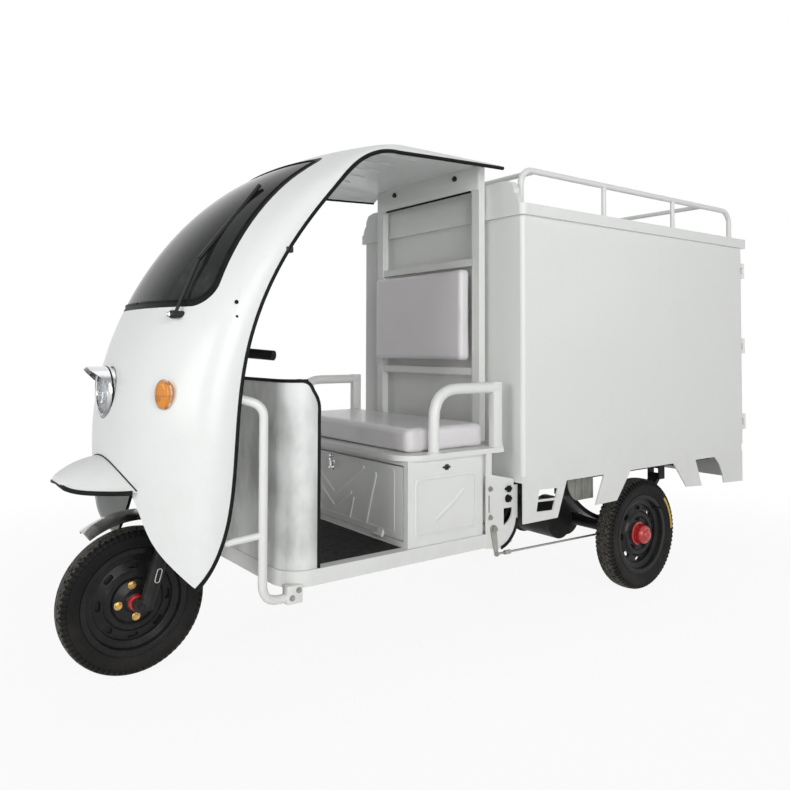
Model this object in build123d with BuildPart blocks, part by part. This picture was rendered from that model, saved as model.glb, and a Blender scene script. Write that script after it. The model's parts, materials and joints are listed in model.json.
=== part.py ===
from build123d import *
import os
from math import sqrt, sin, cos, tan, radians, degrees, atan2, pi

# Electric cargo tricycle: one steered front wheel under a one-piece cab shell,
# a bench seat on a battery box, and a closed cargo box over a leaf-sprung axle.
# X is across (left of the vehicle is +X), Y runs from nose to tail, Z is up.
# The origin is on the ground, in the middle of the length and width.

os.makedirs("parts", exist_ok=True)

# ---- driving dimensions (mm) ----
wheelbase = 2014
front_overhang = 236          # front axle to the tip of the upper mudguard
rear_overhang = 816           # rear axle to the door lock rods
front_tyre_radius = 228.5
rear_tyre_radius = 234
tyre_width = 86
rim_bead_radius = 152         # 12 inch rim
rim_flange_radius = 166
rim_half_width = 31           # between the flanges
rear_track = 896

box_half_width = 514
box_front = 1248              # stations are counted back from the front axle
box_length = 1559
box_wall = 20
box_floor_z = 535
box_lip_z = 1526
cap_height = 42
lip_overhang = 16

floor_half_width = 465
floor_front = 300
floor_z = 363
rail_height = 48
rail_width = 40
floor_corner = 90

rake = 16                     # steering axis back from upright, degrees
axis_offset = 55              # steering axis behind the axle, at axle height
leg_offset = 30               # fork legs ahead of the steering axis
leg_spacing = 150

shell_wall = 6
roof_rear = 1235
roof_half_width = 440

seat_box_front = 760
seat_box_depth = 340
seat_box_half_width = 455
seat_box_height = 290
tray_thickness = 18
sheet = 3

axle_radius = 8
shaft_radius = 15             # rear half shafts
running_clearance = 0.3       # shafts and pins in their bores

# ---- stations on the shared length axis ----
length = front_overhang + wheelbase + rear_overhang
axle_f = front_overhang - length / 2
axle_r = axle_f + wheelbase


def at(station):
    """Length coordinate of a distance back from the front axle."""
    return axle_f + station


def save(builder, label):
    """Label a finished piece and write it to its own file."""
    builder.part.label = label
    export_step(builder.part, f"parts/{label}.step")


sides = {"left": 1, "right": -1}

# ---- wheels ----


def tyre(name, centre_x, centre_y, radius):
    """Tubeless tyre: a C-shaped section turned about the axle."""
    half = tyre_width / 2
    wall = 9
    plane = Plane(origin=(centre_x, centre_y, radius), x_dir=(1, 0, 0), z_dir=(0, -1, 0))
    with BuildPart() as piece:
        with BuildSketch(plane):
            with BuildLine():
                outer = Spline(
                    (rim_half_width + 2, rim_flange_radius + 4),
                    (half, radius * 0.84),
                    (half * 0.82, radius * 0.955),
                    (0, radius),
                    (-half * 0.82, radius * 0.955),
                    (-half, radius * 0.84),
                    (-rim_half_width - 2, rim_flange_radius + 4),
                )
                bead_a = Polyline(
                    outer @ 1,
                    (-rim_half_width + 0.3, rim_flange_radius),
                    (-rim_half_width + 0.3, rim_bead_radius),
                    (-rim_half_width + 12, rim_bead_radius),
                )
                inner = Spline(
                    bead_a @ 1,
                    (-rim_half_width + 8, rim_flange_radius + 4),
                    (-half + wall, radius * 0.86),
                    (0, radius - wall * 1.4),
                    (half - wall, radius * 0.86),
                    (rim_half_width - 8, rim_flange_radius + 4),
                    (rim_half_width - 12, rim_bead_radius),
                )
                Polyline(
                    inner @ 1,
                    (rim_half_width - 0.3, rim_bead_radius),
                    (rim_half_width - 0.3, rim_flange_radius),
                    outer @ 0,
                )
            make_face()
        revolve(axis=Axis(plane.origin, (1, 0, 0)))
    save(piece, name)


def rim(name, centre_x, centre_y, radius, side, bore):
    """Pressed steel disc wheel with its hub; side is the way its face looks."""
    half = rim_half_width
    gauge = 3.5
    well = 128
    plane = Plane(origin=(centre_x, centre_y, radius), x_dir=(side, 0, 0), z_dir=(0, -side, 0))
    face_plane = Plane(origin=(centre_x, centre_y, radius), x_dir=(0, 1, 0), z_dir=(side, 0, 0))
    with BuildPart() as piece:
        with BuildSketch(plane):
            with BuildLine():
                Polyline(
                    (half, rim_flange_radius),
                    (half, rim_bead_radius - 0.3),
                    (14, rim_bead_radius - 4),
                    (9, well),
                    (-9, well),
                    (-14, rim_bead_radius - 4),
                    (-half, rim_bead_radius - 0.3),
                    (-half, rim_flange_radius),
                )
                offset(amount=gauge, side=Side.LEFT)
            make_face()
        revolve(axis=Axis(plane.origin, (1, 0, 0)))
        with BuildSketch(plane):
            with BuildLine():
                Polyline(
                    (-4, well - gauge + 1),
                    (6, well - gauge + 1),
                    (13, 96),
                    (20, 88),
                    (20, 74),
                    (12, 66),
                    (12, 40),
                    (28, 34),
                    (32, 30),
                    (32, bore),
                    (-34, bore),
                    (-34, 52),
                    (4, 58),
                    (4, 90),
                    (-4, well - 12),
                    close=True,
                )
            make_face()
        revolve(axis=Axis(plane.origin, (1, 0, 0)))
        with BuildSketch(face_plane):
            with PolarLocations(109, 8):
                SlotOverall(34, 17, rotation=90)
        extrude(amount=40, both=True, mode=Mode.SUBTRACT)
    save(piece, name)


tyre("front_tyre", 0, axle_f, front_tyre_radius)
rim("front_rim", 0, axle_f, front_tyre_radius, 1, axle_radius + running_clearance)
for label, side in sides.items():
    tyre(f"rear_tyre_{label}", side * rear_track / 2, axle_r, rear_tyre_radius)
    rim(f"rear_rim_{label}", side * rear_track / 2, axle_r, rear_tyre_radius, side, shaft_radius + running_clearance)

cap_seat = 12.3               # the caps sit on the disc, outside its middle plane
cap_radius = 48


def wheel_cap(name, centre_x, centre_y, radius, side, height, bore):
    """Domed cap over the hub, seated on the wheel's disc; bore lets the axle's end through."""
    plane = Plane(origin=(centre_x, centre_y, radius), x_dir=(side, 0, 0), z_dir=(0, -side, 0))
    top = cap_seat + height
    with BuildPart() as piece:
        with BuildSketch(plane):
            with BuildLine():
                brow = ThreePointArc((top - 14, 40), (top - 5, 34), (top, 24))
                Polyline(
                    brow @ 1,
                    (top, bore),
                    (top - 4, bore),
                    (top - 4, 20),
                    (top - 16, 38),
                    (cap_seat, 40),
                    (cap_seat, cap_radius),
                    (cap_seat + 5, cap_radius),
                    (cap_seat + 8, 43),
                    brow @ 0,
                )
            make_face()
        revolve(axis=Axis(plane.origin, (1, 0, 0)))
    save(piece, name)


wheel_cap("wheel_cap_front", 0, axle_f, front_tyre_radius, 1, 38, axle_radius + 2)
for label, side in sides.items():
    wheel_cap(
        f"wheel_cap_{label}", side * rear_track / 2, axle_r, rear_tyre_radius, side, 46, shaft_radius + 1
    )

# ---- steering: fork, handlebar and front mudguard ----
steer_plane = Plane(
    origin=(0, at(axis_offset), front_tyre_radius),
    x_dir=(1, 0, 0),
    z_dir=(0, sin(radians(rake)), cos(radians(rake))),
)
crown_up = 330                # lower fork crown above the axle, along the steering axis
head_tube_length = 170
head_clearance = 4
crown_thickness = 22
steerer_radius = 15
leg_radius = 19

with BuildPart() as fork:
    with BuildSketch(steer_plane.offset(crown_up)):
        with Locations((leg_spacing / 2, -leg_offset), (-leg_spacing / 2, -leg_offset)):
            Circle(leg_radius + 8)
        Circle(steerer_radius + 20)
        make_hull()
    extrude(amount=-crown_thickness)
    top = crown_up + head_tube_length + 2 * head_clearance
    with BuildSketch(steer_plane.offset(top)):
        with Locations((leg_spacing / 2, -leg_offset), (-leg_spacing / 2, -leg_offset)):
            Circle(leg_radius)
        Circle(30)
        make_hull()
    extrude(amount=12)
    with BuildSketch(steer_plane.offset(crown_up)):
        Circle(steerer_radius)
    extrude(amount=top - crown_up + 12)
    with BuildSketch(steer_plane.offset(-20)):
        with Locations((leg_spacing / 2, -leg_offset), (-leg_spacing / 2, -leg_offset)):
            Circle(leg_radius + 5)
    extrude(amount=crown_up * 0.55)
    with BuildSketch(steer_plane):
        with Locations((leg_spacing / 2, -leg_offset), (-leg_spacing / 2, -leg_offset)):
            Circle(leg_radius - 3)
    extrude(amount=crown_up)
    for side in (1, -1):
        with BuildSketch(Plane.YZ.offset(side * leg_spacing / 2)):
            with Locations((axle_f, front_tyre_radius)):
                Circle(20)
            with Locations((at(axis_offset - leg_offset), front_tyre_radius)):
                Circle(20)
            make_hull()
        extrude(amount=side * 12, both=True)
    with BuildSketch(Plane.YZ.offset(-leg_spacing / 2 - 24)):
        with Locations((axle_f, front_tyre_radius)):
            Circle(axle_radius)
    extrude(amount=leg_spacing + 48)
save(fork, "fork")

riser_foot = crown_up + head_tube_length + 2 * head_clearance + 12
riser_length = 230
clamp_height = 38
bar_up = riser_foot + riser_length
with BuildPart() as handlebar:
    with BuildLine(steer_plane.offset(bar_up + 16)) as bar_path:
        FilletPolyline(
            (-300, 60, 60),
            (-190, -10, 50),
            (-90, -8, 8),
            (0, 0, 0),
            (90, -8, 8),
            (190, -10, 50),
            (300, 60, 60),
            radius=28,
        )
    with BuildSketch(Plane(origin=bar_path.line @ 0, z_dir=bar_path.line % 0)):
        Circle(11)
    sweep()
    with BuildSketch(steer_plane.offset(riser_foot)):
        RectangleRounded(52, 40, 12)
    extrude(amount=riser_length)
    with BuildSketch(steer_plane.offset(bar_up)):
        RectangleRounded(70, 44, 8)
    extrude(amount=clamp_height)
    for end in (0, 1):
        direction = bar_path.line % end
        with BuildSketch(Plane(origin=bar_path.line @ end, z_dir=direction * (1 if end == 0 else -1))):
            Circle(16)
        extrude(amount=115)
save(handlebar, "handlebar")

with BuildPart() as instrument_pod:
    with BuildSketch(steer_plane.offset(bar_up + clamp_height + 0.3)):
        with Locations((0, -22)):
            RectangleRounded(150, 84, 24)
    with BuildSketch(steer_plane.offset(bar_up + clamp_height + 44)):
        with Locations((0, -10)):
            RectangleRounded(128, 58, 22)
    loft()
save(instrument_pod, "instrument_pod")

guard_radius = front_tyre_radius + 54
guard_half_width = 54
with BuildPart() as front_mudguard:
    wheel_plane = Plane(origin=(0, axle_f, front_tyre_radius), x_dir=(1, 0, 0), z_dir=(0, -1, 0))
    with BuildSketch(wheel_plane):
        with BuildLine():
            crown = ThreePointArc(
                (-guard_half_width, guard_radius - 22), (0, guard_radius), (guard_half_width, guard_radius - 22)
            )
            offset(amount=2, side=Side.LEFT)
        make_face()
    revolve(axis=Axis(wheel_plane.origin, (1, 0, 0)), revolution_arc=360)
    reach = guard_radius * 3
    start = radians(124)
    end = radians(20)
    wedge_plane = Plane(
        origin=(-guard_half_width - 5, axle_f, front_tyre_radius), x_dir=(0, 1, 0), z_dir=(1, 0, 0)
    )
    with BuildSketch(wedge_plane):
        with BuildLine():
            Polyline(
                (0, 0),
                (reach * cos(end), reach * sin(end)),
                (0, reach),
                (reach * cos(start), reach * sin(start)),
                close=True,
            )
        make_face()
    extrude(amount=2 * guard_half_width + 10, mode=Mode.INTERSECT)
    # bracket up to the underside of the fork crown
    foot_y = axis_offset - leg_offset / 2 * cos(radians(rake))
    foot_z = leg_offset / 2 * sin(radians(rake))
    along = foot_y * sin(radians(rake)) + foot_z * cos(radians(rake))
    meet = sqrt(along**2 - foot_y**2 - foot_z**2 + (guard_radius - 3) ** 2) - along
    bracket_length = crown_up - crown_thickness - meet
    with BuildSketch(steer_plane.offset(crown_up - crown_thickness)):
        with Locations((0, -leg_offset / 2)):
            Rectangle(36, 26)
    extrude(amount=-bracket_length)
save(front_mudguard, "front_mudguard")


# ---- floor, leg shield and the frame under them ----
seat_box_rear = seat_box_front + seat_box_depth
floor_rear = 1240
rail_bottom = floor_z - rail_height

cross_height = rail_height - 8

with BuildPart() as floor_frame:
    with BuildSketch(Plane.XY.offset(rail_bottom)) as ring:
        with BuildLine():
            Polyline(
                (-floor_half_width, at(floor_rear)),
                (-floor_half_width, at(floor_front)),
                (floor_half_width, at(floor_front)),
                (floor_half_width, at(floor_rear)),
                close=True,
            )
        make_face()
        fillet(ring.vertices().group_by(Axis.Y)[0], floor_corner)
        offset(amount=-rail_width, kind=Kind.ARC, mode=Mode.SUBTRACT)
    extrude(amount=rail_height)
    with BuildSketch(Plane.XY.offset(rail_bottom)):
        for station in (560, 860, 1000):
            with Locations((0, at(station))):
                Rectangle(2 * floor_half_width - rail_width, 30)
    extrude(amount=cross_height)
    neck_up = crown_up + head_clearance
    with BuildSketch(steer_plane.offset(neck_up)):
        Circle(28)
    extrude(amount=head_tube_length)
    head_mid = steer_plane.offset(neck_up + head_tube_length / 2).origin
    neck_end = Vector(0, at(floor_front + 20), rail_bottom + 24)
    with BuildSketch(Plane(origin=head_mid, z_dir=neck_end - head_mid)):
        RectangleRounded(50, 44, 10)
    extrude(amount=(neck_end - head_mid).length)
    with BuildSketch(steer_plane.offset(neck_up - 1)):
        Circle(steerer_radius + running_clearance)
    extrude(amount=head_tube_length + 2, mode=Mode.SUBTRACT)
save(floor_frame, "floor_frame")

with BuildPart() as floor_mat:
    with BuildSketch(Plane.XY.offset(floor_z - 8)) as mat:
        with BuildLine():
            Polyline(
                (-floor_half_width, at(floor_rear)),
                (-floor_half_width, at(floor_front)),
                (floor_half_width, at(floor_front)),
                (floor_half_width, at(floor_rear)),
                close=True,
            )
        make_face()
        fillet(mat.vertices().group_by(Axis.Y)[0], floor_corner)
        offset(amount=-rail_width - 0.5, kind=Kind.ARC, mode=Mode.REPLACE)
        with Locations((0, at(floor_rear))):
            Rectangle(2 * floor_half_width, 2 * (floor_rear - seat_box_front + 0.5), mode=Mode.SUBTRACT)
    extrude(amount=6)
save(floor_mat, "floor_mat")

shield_top = 930
shield_rear = 415
shield_gauge = 5
with BuildPart() as leg_shield:
    with BuildSketch(Plane.XY.offset(floor_z + 0.3)) as wrap:
        with BuildLine():
            FilletPolyline(
                (-floor_half_width + 8, at(shield_rear)),
                (-floor_half_width + 8, at(floor_front + 8)),
                (floor_half_width - 8, at(floor_front + 8)),
                (floor_half_width - 8, at(shield_rear)),
                radius=floor_corner - 8,
            )
            offset(amount=shield_gauge, side=Side.LEFT)
        make_face()
    extrude(amount=shield_top - floor_z)
    with BuildSketch(Plane.YZ.offset(-floor_half_width)):
        with BuildLine():
            Polyline(
                (at(shield_rear) - 45, shield_top + 10),
                (at(shield_rear) + 10, shield_top + 10),
                (at(shield_rear) + 10, shield_top - 80),
                close=True,
            )
        make_face()
    extrude(amount=2 * floor_half_width, mode=Mode.SUBTRACT)
    # notch for the frame's neck
    with BuildSketch(Plane.XZ.offset(-at(floor_front - 20))):
        with Locations((0, floor_z)):
            Rectangle(62, 230)
    extrude(amount=-60, mode=Mode.SUBTRACT)
save(leg_shield, "leg_shield")

# ---- cab shell ----
# From the side the cab is a straight nose that turns through a superellipse into the roof.
nose_tip = -102
nose_z = 760                  # where the nose starts to lean back
shell_foot_z = 300
roof_start = 740
roof_z = 1742
roof_edge_z = 1640            # the roof's rounded edge starts here
profile_power = 1.77
corner_depth = 238            # how far back the rounded front reaches


def nose_line(z):
    """Station of the nose on the middle line, at a height."""
    rise = max(z - nose_z, 0) / (roof_z - nose_z)
    tuck = max(nose_z - z, 0) / (nose_z - shell_foot_z)
    lean = (1 - rise**profile_power) ** (1 / profile_power)
    return roof_start - (roof_start - nose_tip) * lean + 8 * tuck**2


def nose_section(z):
    """Nose station, half width and depth of the rounded front of the cab's plan at a height."""
    tuck = max(nose_z - z, 0) / (nose_z - shell_foot_z)
    crown = max(z - roof_edge_z, 0) / (roof_z - roof_edge_z)
    half = roof_half_width - 38 * tuck**1.5 - 90 * crown**6
    depth = corner_depth - 0.043 * max(z - 900, 0) - 66 * crown
    return nose_line(z), half, depth


section_heights = [shell_foot_z + 120 * k for k in range(11)]
section_heights += [1575, roof_edge_z, 1688, 1718, 1735, roof_z]


def half_plan(nose, half, depth, inset):
    """Half of a plan section: a rounded front, a straight side and the middle line."""
    a = half - inset
    b = depth - inset
    centre = nose + depth
    points = [(a * sin(radians(t)), at(centre) - b * cos(radians(t))) for t in (0, 30, 60, 90)]
    front = Spline(*points, tangents=[(1, 0), (0, 1)])
    Polyline(front @ 1, (a, at(roof_rear + 40)), (0, at(roof_rear + 40)), front @ 0)


def cab_face(x, z):
    """Station of the cab's outside at a height and a distance from the middle."""
    nose, half, depth = nose_section(z)
    return nose + depth * (1 - sqrt(1 - (x / half) ** 2))


def cab_form(inset, drop):
    """Solid cab form, inset all round and lowered at the roof by the wall."""
    with BuildPart() as form:
        for height in section_heights:
            lowered = drop if height >= roof_edge_z else 0
            with BuildSketch(Plane.XY.offset(height - lowered)):
                with BuildLine():
                    half_plan(*nose_section(height), inset)
                make_face()
        loft()
        mirror(about=Plane.YZ)
    return form.part


bar_radius = 11
bar_x = floor_half_width - 16
bar_top_z = 884
bar_front = 110
bar_nose, bar_half, bar_depth = nose_section(bar_top_z)
bar_reach = (bar_nose + bar_depth - bar_front) / (bar_depth - shell_wall)
bar_top_x = (bar_half - shell_wall) * sqrt(1 - bar_reach**2) - bar_radius - 0.3
for label, side in sides.items():
    with BuildPart() as guard_bar:
        with BuildLine() as path:
            FilletPolyline(
                (side * bar_top_x, at(bar_front), bar_top_z),
                (side * bar_top_x, at(165), bar_top_z),
                (side * bar_x, at(232), bar_top_z - 16),
                (side * bar_x, at(232), 290),
                (side * bar_x, at(330), 290),
                radius=22,
            )
        with BuildSketch(Plane(origin=path.line @ 0, z_dir=path.line % 0)):
            Circle(bar_radius)
        sweep()
        with BuildSketch(Plane.XY.offset(rail_bottom - 0.3)):
            with Locations((side * bar_x, at(332))):
                Rectangle(26, 50)
        extrude(amount=-34)
    save(guard_bar, f"guard_bar_{label}")

cab_outside = cab_form(0, 0)
cab_inside = cab_form(shell_wall, shell_wall)

screen_gap = 20               # width of the rubber seal
screen_corners = ((372, 1152), (300, 1672))
screen_fillets = (60, 34)     # at the foot and at the top


def screen_cutter(inset):
    """Windscreen outline, seen from the front, run back through the cab."""
    (low_x, low_z), (high_x, high_z) = screen_corners
    low_fillet, high_fillet = screen_fillets
    with BuildPart() as cutter:
        with BuildSketch(Plane.XZ.offset(-at(-200))) as outline:
            with BuildLine():
                Polyline(
                    (-low_x + inset, low_z + inset),
                    (low_x - inset, low_z + inset),
                    (high_x - inset, high_z - inset / 2),
                    (-high_x + inset, high_z - inset / 2),
                    close=True,
                )
            make_face()
            fillet(outline.vertices().group_by(Axis.Y)[-1], high_fillet - inset / 2)
            fillet(outline.vertices().group_by(Axis.Y)[0], low_fillet - inset / 2)
        extrude(amount=-900)
    return cutter.part


head_station = -102
head_centre_z = 890
head_radius = 76
hood_reach = 46
lamp_lip = 5                  # the ring round the lamp stands this far out
signal_x = 320
signal_y = -16
signal_z = 896
signal_turn = 29.5            # degrees the signal faces outward

# upper mudguard: an arched blade that leaves the nose and tapers to a rounded tip
beak_rows = (
    (-front_overhang, 642, 36, 14),
    (-front_overhang + 14, 652, 85, 38),
    (-180, 674, 150, 66),
    (-110, 692, 212, 84),
    (-60, 698, 236, 88),
)
beak_gauge = 4
beak_gap = 0.4


def beak_form(inset):
    """Arched blade, or the hollow under it when inset."""
    with BuildPart() as form:
        for station, top, half, drop in beak_rows:
            a = half - inset
            with BuildSketch(Plane.XZ.offset(-at(station + inset))):
                with BuildLine():
                    arc = ThreePointArc((-a, top - drop), (0, top - inset), (a, top - drop))
                    Line(arc @ 1, arc @ 0)
                make_face()
        loft()
    return form.part


rib_pitch = 112
rib_length = 230
rib_width = 46
rib_depth = 5
signal_width = 56
signal_height = 80
mirror_station = 154
mirror_z = 1142
mirror_spacing = 42
mirror_hole_radius = 4.2


def signal_plane(side):
    """Plane on the cab's shoulder, facing out through a turn signal."""
    turn = radians(signal_turn)
    return Plane(
        origin=(side * signal_x, at(signal_y), signal_z),
        x_dir=(side * cos(turn), sin(turn), 0),
        z_dir=(side * sin(turn), -cos(turn), 0),
    )


with BuildPart() as cab_shell:
    add(cab_outside)
    add(cab_inside, mode=Mode.SUBTRACT)
    # open below and behind
    with BuildSketch(Plane.XZ.offset(-at(roof_rear))):
        Rectangle(1200, 4000)
    extrude(amount=-200, mode=Mode.SUBTRACT)
    # side openings: the trim line climbs from the shell's foot to the roof edge
    with BuildSketch(Plane.YZ.offset(-600)):
        with BuildLine():
            trim = Spline(
                (at(60), 345),
                (at(124), 483),
                (at(150), 704),
                (at(188), 1039),
                (at(295), 1293),
                (at(495), 1556),
                (at(610), 1660),
                (at(735), 1690),
            )
            roof_edge = Line(trim @ 1, (at(roof_rear + 10), 1712))
            Polyline(roof_edge @ 1, (at(roof_rear + 10), 200), (at(30), 200), (at(30), 345), trim @ 0)
        make_face()
    extrude(amount=1200, mode=Mode.SUBTRACT)
    # arch over the front wheel
    with BuildSketch(Plane.XZ.offset(-at(-200))):
        with BuildLine():
            arch = Spline(
                (-400, 326), (-355, 382), (-285, 465), (-230, 565), (-170, 645),
                (0, 676),
                (170, 645), (230, 565), (285, 465), (355, 382), (400, 326),
            )
            Polyline(arch @ 1, (400, 250), (-400, 250), arch @ 0)
        make_face()
    extrude(amount=-300, mode=Mode.SUBTRACT)
    add(Pos(0, beak_gap, 0) * beak_form(-beak_gap), mode=Mode.SUBTRACT)
    add(screen_cutter(0), mode=Mode.SUBTRACT)
    with BuildSketch(Plane.XZ.offset(-at(-200))):
        with Locations((0, head_centre_z)):
            Circle(head_radius + lamp_lip + 0.3)
    extrude(amount=-200, mode=Mode.SUBTRACT)
    for side in (1, -1):
        with BuildSketch(signal_plane(side).offset(-40)):
            Ellipse(signal_width / 2 + 0.3, signal_height / 2 + 0.3)
        extrude(amount=60, mode=Mode.SUBTRACT)
    with BuildSketch(Plane.YZ.offset(-600)):
        with Locations((at(mirror_station), mirror_z)):
            with GridLocations(10, mirror_spacing, 1, 2):
                Circle(mirror_hole_radius)
    extrude(amount=1200, mode=Mode.SUBTRACT)
    # stiffening ribs pressed along the ceiling
    with BuildSketch(Plane.XY.offset(roof_z - shell_wall / 2)):
        with Locations((0, at(roof_start + 110))):
            with GridLocations(rib_pitch, 0, 5, 1):
                SlotOverall(rib_length, rib_width, rotation=90)
    extrude(amount=-shell_wall / 2 - rib_depth)
save(cab_shell, "cab_shell")

with BuildPart() as windscreen:
    add(screen_cutter(screen_gap))
    add(cab_outside, mode=Mode.INTERSECT)
    add(cab_inside, mode=Mode.SUBTRACT)
save(windscreen, "windscreen")

with BuildPart() as windscreen_seal:
    add(screen_cutter(0))
    add(screen_cutter(screen_gap), mode=Mode.SUBTRACT)
    add(cab_outside, mode=Mode.INTERSECT)
    add(cab_inside, mode=Mode.SUBTRACT)
save(windscreen_seal, "windscreen_seal")

with BuildPart() as headlight:
    lamp_plane = Plane(origin=(0, at(head_station), head_centre_z), x_dir=(1, 0, 0), z_dir=(0, -1, 0))
    with BuildSketch(Plane(origin=lamp_plane.origin, x_dir=(1, 0, 0), z_dir=(0, 0, 1))):
        with BuildLine():
            Polyline(
                (head_radius - 10, 0),
                (head_radius - 4, -3),
                (head_radius + lamp_lip - 1, 4),
                (head_radius + lamp_lip, 14),
                (head_radius, 18),
                (head_radius, 62),
                (46, 100),
                (0, 100),
                (0, 92),
                (42, 92),
                (head_radius - 10, 56),
                close=True,
            )
        make_face()
    revolve(axis=Axis(lamp_plane.origin, (0, 1, 0)))
    # peaked hood over the lamp
    with BuildSketch(lamp_plane.offset(-16)):
        Circle(head_radius + 5.5)
        Circle(head_radius + 2, mode=Mode.SUBTRACT)
        with Locations((0, -60)):
            Rectangle(200, 180, mode=Mode.SUBTRACT)
    extrude(amount=hood_reach + 16)
    with BuildSketch(Plane.YZ.offset(-120)):
        with BuildLine():
            Polyline(
                (at(head_station - hood_reach) - 5, head_centre_z),
                (at(head_station - hood_reach) - 5, head_centre_z + head_radius - 2),
                (at(head_station) + 2, head_centre_z + 30),
                (at(head_station) + 2, head_centre_z),
                close=True,
            )
        make_face()
    extrude(amount=240, mode=Mode.SUBTRACT)
save(headlight, "headlight")

with BuildPart() as headlight_lens:
    with BuildSketch(Plane(origin=lamp_plane.origin, x_dir=(1, 0, 0), z_dir=(0, 0, 1))):
        with BuildLine():
            rim_edge = head_radius - 10.3
            bulge = ThreePointArc((0, -8), (rim_edge * 0.55, -4.5), (rim_edge, 6))
            Polyline(bulge @ 1, (rim_edge, 10), (0, 2), (0, -8))
        make_face()
    revolve(axis=Axis(lamp_plane.origin, (0, 1, 0)))
save(headlight_lens, "headlight_lens")

for label, side in sides.items():
    with BuildPart() as turn_signal:
        with BuildSketch(signal_plane(side).offset(-10)):
            Ellipse(signal_width / 2, signal_height / 2)
        extrude(amount=28)
        fillet(turn_signal.faces().sort_by(Axis.Y)[0].edges(), 12)
    save(turn_signal, f"turn_signal_{label}")

with BuildPart() as upper_mudguard:
    add(beak_form(0))
    add(beak_form(beak_gauge), mode=Mode.SUBTRACT)
save(upper_mudguard, "upper_mudguard")


with BuildPart() as wiper:
    foot = (285, 1128)
    knee = (262, 1300)
    tip = (225, 1560)
    stand_off = 16
    ends = [Vector(x, at(cab_face(x, z) - stand_off), z) for x, z in (foot, knee, tip)]
    with BuildSketch(Plane(origin=ends[0] - Vector(0, 6, 0), x_dir=(1, 0, 0), z_dir=(0, 1, 0))):
        Circle(11)
    extrude(amount=60)
    for start_point, end_point, radius in ((ends[0], ends[1], 5), (ends[1], ends[2], 7)):
        with BuildSketch(Plane(origin=start_point, z_dir=end_point - start_point)):
            Circle(radius)
        extrude(amount=(end_point - start_point).length)
    add(cab_outside, mode=Mode.SUBTRACT)
save(wiper, "wiper")

# ---- seat on its battery box ----
seat_top = floor_z + seat_box_height
door_gap = 5
seat_hinge_y = at(seat_box_front - 6)
seat_hinge_z = floor_z + 18
seat_hinges = (-300, 300)
press_depth = 2.5
# ribs pressed into the seat box door: from and to (across, up from the door's middle), width
door_ribs = (
    ((-190, 92), (0, -30), 16),
    ((190, 92), (0, -30), 16),
    ((-112, -10), (0, -78), 12),
    ((112, -10), (0, -78), 12),
    ((-128, -28), (-104, -104), 12),
    ((128, -28), (104, -104), 12),
    ((-262, 74), (-206, -96), 26),
    ((262, 74), (206, -96), 26),
)
with BuildPart() as seat_box:
    with BuildSketch(Plane.XY.offset(floor_z + 0.3)):
        with Locations((0, at(seat_box_front + seat_box_depth / 2))):
            Rectangle(2 * seat_box_half_width, seat_box_depth)
            Rectangle(2 * seat_box_half_width - 2 * 8, seat_box_depth - 2 * 8, mode=Mode.SUBTRACT)
    extrude(amount=seat_box_height - 0.6)
    with BuildSketch(Plane.XZ.offset(-at(seat_box_front - 5))):
        with Locations((0, floor_z + seat_box_height / 2)):
            Rectangle(2 * seat_box_half_width - 50, seat_box_height - 36)
    extrude(amount=-20, mode=Mode.SUBTRACT)
    for x in seat_hinges:
        with BuildSketch(Plane.YZ.offset(x - 31)):
            with Locations((seat_hinge_y, seat_hinge_z)):
                Circle(5)
            with Locations((at(seat_box_front + 1), seat_hinge_z - 6)):
                Rectangle(8, 8)
            make_hull()
        extrude(amount=20)
        with BuildSketch(Plane.YZ.offset(x - 31)):
            with Locations((seat_hinge_y, seat_hinge_z)):
                Circle(2.5)
        extrude(amount=50)
    # pressed panel and lock slot in each side
    for side in (1, -1):
        with BuildSketch(Plane.YZ.offset(side * seat_box_half_width)):
            with Locations((at(seat_box_front + seat_box_depth / 2), floor_z + 128)):
                RectangleRounded(seat_box_depth - 70, 190, 14)
        extrude(amount=-side * press_depth, mode=Mode.SUBTRACT)
        with BuildSketch(Plane.YZ.offset(side * seat_box_half_width)):
            with Locations((at(seat_box_front + seat_box_depth / 2), seat_top - 34)):
                Circle(10)
                SlotOverall(38, 8)
        extrude(amount=-side * 8, mode=Mode.SUBTRACT)
save(seat_box, "seat_box")

with BuildPart() as seat_box_door:
    with BuildSketch(Plane.XZ.offset(-at(seat_box_front))):
        with Locations((0, floor_z + seat_box_height / 2)):
            RectangleRounded(
                2 * seat_box_half_width - 50 - 2 * door_gap, seat_box_height - 36 - 2 * door_gap, 6
            )
    extrude(amount=-6)
    for (x0, z0), (x1, z1), rib in door_ribs:
        turn = degrees(atan2(z1 - z0, x1 - x0))
        for width, rise in ((rib, press_depth - 1), (rib - 6, press_depth)):
            with BuildSketch(Plane.XZ.offset(-at(seat_box_front))):
                with Locations(((x0 + x1) / 2, floor_z + seat_box_height / 2 + (z0 + z1) / 2)):
                    SlotCenterToCenter(sqrt((x1 - x0) ** 2 + (z1 - z0) ** 2), width, rotation=turn)
            extrude(amount=rise)
    with BuildSketch(Plane.XZ.offset(-at(seat_box_front))):
        with Locations((0, floor_z + seat_box_height / 2)):
            RectangleRounded(760, 216, 10)
            RectangleRounded(748, 204, 6, mode=Mode.SUBTRACT)
    extrude(amount=1.2)
    for x in seat_hinges:
        with BuildSketch(Plane.YZ.offset(x - 10)):
            with Locations((seat_hinge_y, seat_hinge_z)):
                Circle(5)
            with Locations((at(seat_box_front) - 1, seat_hinge_z + door_gap + 12)):
                Rectangle(2, 14)
            make_hull()
        extrude(amount=28)
        with BuildSketch(Plane.YZ.offset(x - 20)):
            with Locations((seat_hinge_y, seat_hinge_z)):
                Circle(2.5 + running_clearance)
        extrude(amount=50, mode=Mode.SUBTRACT)
save(seat_box_door, "seat_box_door")

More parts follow.
